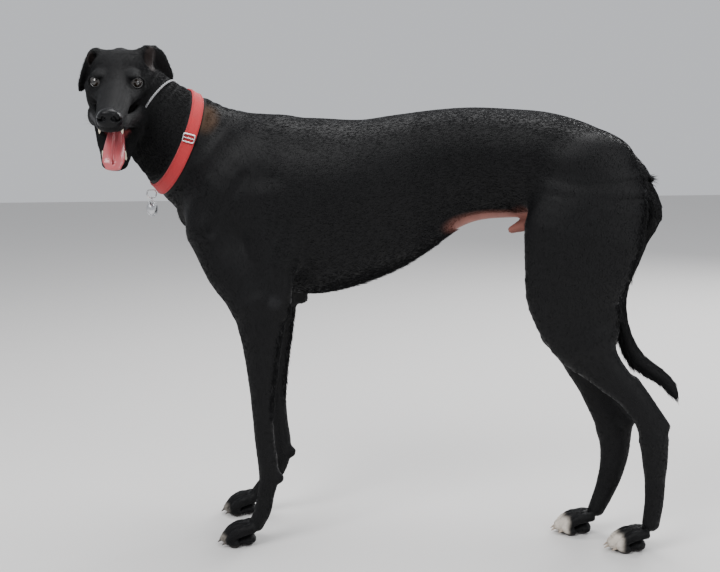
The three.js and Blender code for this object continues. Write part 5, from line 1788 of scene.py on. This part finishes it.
@dataclass
class Stitching:
    """Rows of stitches along a line, made by a node tree."""

    spacing: float = 3.1
    length: float = 2.0
    thread: float = 0.34

    def tree(self, material: bpy.types.Material) -> bpy.types.NodeTree:
        """The tree: the line is resampled and a short thread laid at each place."""
        tree = bpy.data.node_groups.new("stitch_rows", "GeometryNodeTree")
        face = tree.interface
        face.new_socket("Geometry", in_out="INPUT", socket_type="NodeSocketGeometry")
        for name in ("Spacing", "Stitch Length", "Thread Radius"):
            face.new_socket(name, in_out="INPUT", socket_type="NodeSocketFloat")
        face.new_socket("Geometry", in_out="OUTPUT", socket_type="NodeSocketGeometry")
        nodes, links = tree.nodes, tree.links
        start, end = nodes.new("NodeGroupInput"), nodes.new("NodeGroupOutput")
        curve = nodes.new("GeometryNodeMeshToCurve")
        spaced = nodes.new("GeometryNodeResampleCurve")
        spaced.mode = "LENGTH"
        tangent = nodes.new("GeometryNodeInputTangent")
        turn = nodes.new("FunctionNodeAlignRotationToVector")
        turn.axis = "Z"
        rod = nodes.new("GeometryNodeMeshCylinder")
        rod.inputs["Vertices"].default_value = 6
        laid = nodes.new("GeometryNodeInstanceOnPoints")
        real = nodes.new("GeometryNodeRealizeInstances")
        finish = nodes.new("GeometryNodeSetMaterial")
        finish.inputs["Material"].default_value = material
        for source, target in (
            (start.outputs["Geometry"], curve.inputs["Mesh"]),
            (curve.outputs["Curve"], spaced.inputs["Curve"]),
            (start.outputs["Spacing"], spaced.inputs["Length"]),
            (start.outputs["Stitch Length"], rod.inputs["Depth"]),
            (start.outputs["Thread Radius"], rod.inputs["Radius"]),
            (spaced.outputs["Curve"], laid.inputs["Points"]),
            (rod.outputs["Mesh"], laid.inputs["Instance"]),
            (tangent.outputs["Tangent"], turn.inputs["Vector"]),
            (turn.outputs["Rotation"], laid.inputs["Rotation"]),
            (laid.outputs["Instances"], real.inputs["Geometry"]),
            (real.outputs["Geometry"], finish.inputs["Geometry"]),
            (finish.outputs["Geometry"], end.inputs["Geometry"]),
        ):
            links.new(source, target)
        return tree

    def build(self, name: str, lines: Sequence[np.ndarray], material: bpy.types.Material
              ) -> bpy.types.Object:
        """Makes the stitches along closed lines given in body millimetres."""
        points = np.concatenate([to_frame(line) for line in lines])
        edges, start = [], 0
        for line in lines:
            count = len(line)
            edges += [(start + i, start + (i + 1) % count) for i in range(count)]
            start += count
        mesh = bpy.data.meshes.new(name + "_line")
        mesh.from_pydata([tuple(p) for p in points], edges, [])
        made = bpy.data.objects.new(name, mesh)
        bpy.context.scene.collection.objects.link(made)
        tree = self.tree(material)
        modifier = made.modifiers.new("stitches", "NODES")
        modifier.node_group = tree
        keys = {item.name: item.identifier for item in tree.interface.items_tree if item.in_out == "INPUT"}
        modifier[keys["Spacing"]] = self.spacing * MM
        modifier[keys["Stitch Length"]] = self.length * MM
        modifier[keys["Thread Radius"]] = self.thread * MM
        made.update_tag()
        graph = bpy.context.evaluated_depsgraph_get()
        plain = bpy.data.meshes.new_from_object(made.evaluated_get(graph))
        made.modifiers.remove(modifier)
        made.data = plain
        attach(made, "root")
        return made


@dataclass
class CollarSet:
    """The red collar with its slider, ring and tag, and the thin slip collar above it."""

    width: float = 18.0
    thick: float = 2.6
    turns: int = 144
    slider_turn: int = 20
    slider_turns: int = 36
    slider_half: float = 6.6
    slider_corner: float = 2.2
    slider_wire: float = 1.25
    slider_bar: float = 1.15
    ring_radius: float = 8.0
    wire: float = 1.35
    link_radius: float = 4.6
    link_wire: float = 0.8
    tag_high: float = 13.9
    tag_wide: float = 9.4
    tag_thick: float = 1.5
    tag_hole: float = 1.9
    strand: float = 1.15

    TAG_WAY = (0.94, 0.35, 0.0)
    RING_AXIS = (0.35, -0.94, 0.0)

    def band(self) -> tuple[np.ndarray, np.ndarray, np.ndarray]:
        """The webbing, and a map that runs along and across it."""
        half = self.width / 2
        section = [(-half, 0.0), (-half, self.thick * 0.6), (-half + 0.8, self.thick * 0.92)]
        section += [(x, self.thick) for x in np.linspace(-half + 2.2, half - 2.2, 5)]
        section += [(half - 0.8, self.thick * 0.92), (half, self.thick * 0.6), (half, 0.0), (0.0, -0.3)]
        rows = []
        for offset, lift in section:
            places, out = COLLAR.ring(offset, self.turns)
            rows.append(places + out * lift)
        points = np.stack(rows, axis=1)
        sides = len(section)
        faces, maps = [], []
        for i in range(self.turns):
            for j in range(sides):
                n, k = (i + 1) % self.turns, (j + 1) % sides
                faces.append((i * sides + j, i * sides + k, n * sides + k, n * sides + j))
                u0, u1, v0, v1 = i / self.turns, (i + 1) / self.turns, j / sides, (j + 1) / sides
                maps += [(u0, v0), (u0, v1), (u1, v1), (u1, v0)]
        flat = points.reshape(-1, 3)
        quads = np.array(faces)
        triangles = quads[:, :3]
        if outward(flat, triangles) is not triangles:
            quads = quads[:, ::-1]
            maps = [m for i in range(0, len(maps), 4) for m in maps[i : i + 4][::-1]]
        return flat, quads, np.array(maps)

    def frame_at_slider(self) -> tuple[np.ndarray, np.ndarray, np.ndarray, np.ndarray]:
        """The slider's place, the way along the tape, across it, and out."""
        low, outs = COLLAR.ring(-self.width / 2, self.slider_turns)
        high, _ = COLLAR.ring(self.width / 2, self.slider_turns)
        middle, _ = COLLAR.ring(0, self.slider_turns)
        i = self.slider_turn
        across = unit(high[i] - low[i])
        along = middle[i + 1] - middle[i - 1]
        along = unit(along - across * (along @ across))
        out = np.cross(along, across)
        out = out if out @ outs[i] > 0 else -out
        return (low[i] + high[i]) / 2 + out * (self.thick + 2.6), along, across, out

    def slider(self) -> Pair:
        """A three-bar slider of flat wire."""
        at, along, across, out = self.frame_at_slider()
        half_a, half_b, corner = self.slider_half, self.width / 2 + 0.9, self.slider_corner
        turn = np.linspace(0, 2 * math.pi, 48, endpoint=False)
        a = np.clip(np.cos(turn) * 1.6, -1, 1) * (half_a - corner) + np.cos(turn) * corner
        b = np.clip(np.sin(turn) * 1.6, -1, 1) * (half_b - corner) + np.sin(turn) * corner
        ring = at + along * a[:, None] + across * b[:, None]
        loop = tube(ring, np.full((48, 2), self.slider_wire), out, 10, closed=True)
        bar = at + across * np.linspace(-half_b, half_b, 5)[:, None]
        return joined([loop, tube(bar, np.full((5, 2), self.slider_bar), out, 10)])

    def hang(self) -> np.ndarray:
        """The middle of the ring below the throat."""
        middle, _ = COLLAR.ring(0, 36)
        lowest = middle[:, 2].argmin()
        return middle[lowest] + np.array([-0.72, 0.0, -0.69]) * (self.thick + 2.9 + self.ring_radius)

    def circle(self, centre: np.ndarray, radius: float, wire: float, axis: Sequence[float],
               flat: float = 0.0) -> Pair:
        """A ring of wire, with one side straight when flat is over 0."""
        n = unit(axis)
        e1 = unit(np.cross(n, (0, 0, 1.0)))
        e2 = np.cross(e1, n)
        turn = np.linspace(0, 2 * math.pi, 40, endpoint=False)
        height = np.minimum(np.sin(turn), 1 - flat) * radius
        ring = centre + e1 * (np.cos(turn) * radius)[:, None] + e2 * height[:, None]
        return tube(ring, np.full((40, 2), wire), n, 10, closed=True)

    def tag(self, link_at: np.ndarray) -> Pair:
        """An oval plate with a hole near its top and a raised rim."""
        drop = link_at - UP * self.link_radius
        wide = unit(self.TAG_WAY)
        face = np.cross(wide, UP)
        centre = drop - UP * (self.tag_high - 3.4)
        turn = np.linspace(0, 2 * math.pi, 64, endpoint=False)
        ways = wide * np.cos(turn)[:, None] + UP * np.sin(turn)[:, None]
        oval = (wide * (self.tag_wide * np.cos(turn))[:, None]
                + UP * (self.tag_high * np.sin(turn))[:, None])
        hole, edge = drop + ways * self.tag_hole, centre + oval
        half = face * (self.tag_thick / 2)
        points = np.concatenate([hole - half, edge - half, edge + half, hole + half])
        rim = centre + oval * 0.93
        return joined([
            (points, outward(points, np.array(wall(4, 64, closed=True)))),
            tube(rim, np.full((64, 2), 0.95), face, 8, closed=True),
        ])

    def braid(self) -> Pair:
        """Two strands twisted round each other about the neck."""
        count, twists = 360, 46
        places, outs = SLIP.ring(0, count)
        n = unit(SLIP.normal)
        pieces = []
        for phase in (0.0, math.pi):
            turn = np.arange(count) / count * 2 * math.pi * twists + phase
            path = places + outs * (0.6 + 0.95 * np.cos(turn))[:, None] + n * (0.95 * np.sin(turn))[:, None]
            pieces.append(tube(path, np.full((count, 2), self.strand), n, 6, closed=True))
        return joined(pieces)

    def build(self) -> list[bpy.types.Object]:
        """Makes everything the dog wears."""
        webbing = WebbingFinish((0.46, 0.012, 0.018)).material("collar_webbing")
        thread = PlainFinish((0.40, 0.02, 0.024), 0.6).material("collar_thread")
        steel = PlainFinish((0.62, 0.62, 0.63), 0.24, 1.0, 300, 0.1, 0.03).material("bright_steel")
        plate = PlainFinish((0.55, 0.56, 0.58), 0.30, 1.0, 220, 0.2, 0.06).material("tag_plate")
        cord = PlainFinish((0.30, 0.30, 0.31), 0.5, 0.25, 1500, 0.3, 0.3).material("slip_cord")
        points, quads, maps = self.band()
        band = dressed("collar_band", (points, quads), webbing, ["collar"])
        layer = band.data.uv_layers.new(name="UVMap")
        layer.data.foreach_set("uv", maps.astype(np.float32).ravel())
        rows = []
        for offset in (-self.width / 2 + 2.4, self.width / 2 - 2.4):
            places, outs = COLLAR.ring(offset, self.turns)
            rows.append(places + outs * (self.thick + 0.1))
        made = [band, Stitching().build("collar_stitches", rows, thread)]
        hang = self.hang()
        link_at = hang - UP * (self.ring_radius + self.link_radius - 2.6)
        ring = self.circle(hang, self.ring_radius, self.wire, self.RING_AXIS, 0.25)
        link = self.circle(link_at, self.link_radius, self.link_wire, self.TAG_WAY)
        made += [
            dressed("slider_bars", self.slider(), steel, ["collar_slider"]),
            dressed("d_ring", ring, steel, ["collar_ring"]),
            dressed("tag_ring", link, steel, ["tag_link"]),
            dressed("tag_disc", self.tag(link_at), plate, ["tag"]),
            dressed("slip_braid", self.braid(), cord, ["slip_collar"]),
        ]
        return made


@dataclass
class Whiskers:
    """A few stiff hairs on each side of the muzzle."""

    per_side: int = 9
    seed: int = 77

    def build(self) -> list[bpy.types.Object]:
        """Makes the whiskers."""
        rng = np.random.default_rng(self.seed)
        pieces = []
        for lr in (1, -1):
            for i in range(self.per_side):
                f = 104 - 7.5 * (i // 3) + rng.uniform(-2, 2)
                u = -22 - 6 * (i % 3)
                root = HEAD.point(f, lr * (20 + 1.0 * (i // 3)), u)
                way = HEAD.direction(-0.35 + rng.uniform(-0.2, 0.2), lr, -0.15 * (i % 3))
                t = np.linspace(0, 1, 6)
                length = rng.uniform(16, 27)
                bow = HEAD.direction(-0.7, 0, -0.7)
                places = root + way * (t * length)[:, None] + bow * (4 * t * t)[:, None]
                size = 0.22 * (1 - 0.8 * t)
                pieces.append(tube(places, np.stack([size, size], axis=1), HEAD.axes()[0], 4))
        black = PlainFinish((0.012, 0.012, 0.012), 0.4).material("whisker_black")
        return [dressed("whiskers", joined(pieces), black)]


@dataclass
class Greyhound:
    """The dog: skin, coat, eyes, claws, mouth and whiskers."""

    head_cell: float = 1.6
    body_cell: float = 5.0
    fine_cell: float = 2.8
    paw_cell: float = 2.3
    overlap: float = 5.0
    quick_coarser: float = 1.7

    def skins(self) -> list[Skin]:
        """The skin of the head and that of the body, which meet under the collar."""
        coarser = 1.0
        flesh = Tissue(Body().shapes() + HeadFlesh().shapes())
        n = unit(COLLAR.normal)
        at = np.array(COLLAR.at)
        head_lines = [
            np.arange(-562, -352, self.head_cell * coarser),
            np.arange(-226, 78, self.head_cell * coarser),
            np.arange(596, 884, self.head_cell * coarser),
        ]
        cell, fine, paw = (size * coarser for size in (self.body_cell, self.fine_cell, self.paw_cell))
        body_lines = [
            grid_lines(-460, 460, cell, [(-460, -255, fine), (225, 420, fine)]),
            grid_lines(-125, 128, cell, [(-125, -20, fine), (20, 128, fine)]),
            grid_lines(-12, 780, cell, [(-12, 70, paw)]),
        ]
        in_front = HalfSpace(tuple(at - n * self.overlap), tuple(-n))
        behind = HalfSpace(tuple(at + n * self.overlap), tuple(n))
        return [
            Skin("head_skin", flesh, head_lines, in_front, HEAD_NODES),
            Skin("body_skin", flesh, body_lines, behind, BODY_NODES),
        ]

    def build(self) -> list[bpy.types.Object]:
        """Makes everything that belongs to the animal."""
        markings = Markings()
        finish = CoatFinish()
        skins = self.skins()
        made = []
        for skin in skins:
            skin.mesh()
            LOG.info("%s: %d vertices", skin.name, len(skin.points))
            made.append(skin.dress(finish, markings))
        made += Fur(Lie(), markings).build(skins, finish)
        made += Eyes().build() + Claws().build() + Mouth().build() + Whiskers().build()
        return made


@dataclass
class Studio:
    """A pale floor, soft lights, and the camera at the photograph's angle."""

    eye: Triple = (259.3, -2003.0, 762.0)
    azimuth: float = 9.87
    pitch: float = 8.95
    roll: float = -1.46
    lens: float = 60.0
    floor_size: float = 14.0
    floor_colour: Quad = (0.62, 0.61, 0.60, 1.0)
    room_colour: Quad = (0.86, 0.88, 0.92, 1.0)
    room_light: float = 0.75
    middle: Triple = (0.0, 0.0, 0.45)

    LAMPS = (
        ("key", (-1.2, -2.2, 2.9), 1.6, 95.0),
        ("fill", (2.2, -1.8, 1.6), 1.8, 38.0),
        ("top", (0.2, 0.5, 2.8), 1.6, 70.0),
        ("rim", (1.4, 2.6, 1.8), 1.4, 60.0),
    )

    def floor(self) -> None:
        """The floor and the room's light."""
        shader = Shader("floor_pale")
        material = shader.finish(Base_Color=self.floor_colour, Roughness=0.8)
        bpy.ops.mesh.primitive_plane_add(size=self.floor_size, location=(0, 0, 0))
        floor = bpy.context.object
        floor.name = "floor"
        floor.data.materials.append(material)
        world = bpy.data.worlds.new("room")
        world.use_nodes = True
        room = world.node_tree.nodes["Background"].inputs
        room["Color"].default_value = self.room_colour
        room["Strength"].default_value = self.room_light
        bpy.context.scene.world = world

    def lamp(self, name: str, place: Sequence[float], size: float, power: float) -> None:
        """A soft square lamp that faces the dog."""
        data = bpy.data.lights.new(name, "AREA")
        data.size, data.energy = size, power
        lamp = bpy.data.objects.new(name, data)
        lamp.location = place
        way = Vector(self.middle) - Vector(place)
        lamp.rotation_euler = way.to_track_quat("-Z", "Y").to_euler()
        bpy.context.scene.collection.objects.link(lamp)

    def camera(self) -> None:
        """The camera."""
        az = math.radians(self.azimuth)
        ahead = np.array([-math.sin(az), math.cos(az), 0.0])
        right = np.array([math.cos(az), math.sin(az), 0.0])
        look, x, y = turned(ahead, right, self.pitch, -self.roll)
        turn = Matrix([list(row) for row in np.stack([x, y, -look], axis=1)]).to_4x4()
        data = bpy.data.cameras.new("camera")
        data.lens, data.sensor_width = self.lens, 36.0
        data.clip_end = 60.0
        camera = bpy.data.objects.new("camera", data)
        camera.matrix_world = Matrix.Translation(Vector(to_frame(np.array(self.eye)))) @ turn
        bpy.context.scene.collection.objects.link(camera)
        bpy.context.scene.camera = camera

    def build(self) -> None:
        """Sets up the studio."""
        self.floor()
        for lamp in self.LAMPS:
            self.lamp(*lamp)
        self.camera()


def main() -> None:
    """Builds every piece, logs its face count and sets up the studio."""
    logging.basicConfig(level=logging.INFO, format="%(name)s: %(message)s")
    for builder in (Greyhound(), CollarSet()):
        for made in builder.build():
            LOG.info("%s: %d faces", made.name, len(made.data.polygons))
    Studio().build()


if __name__ == "__main__":
    main()
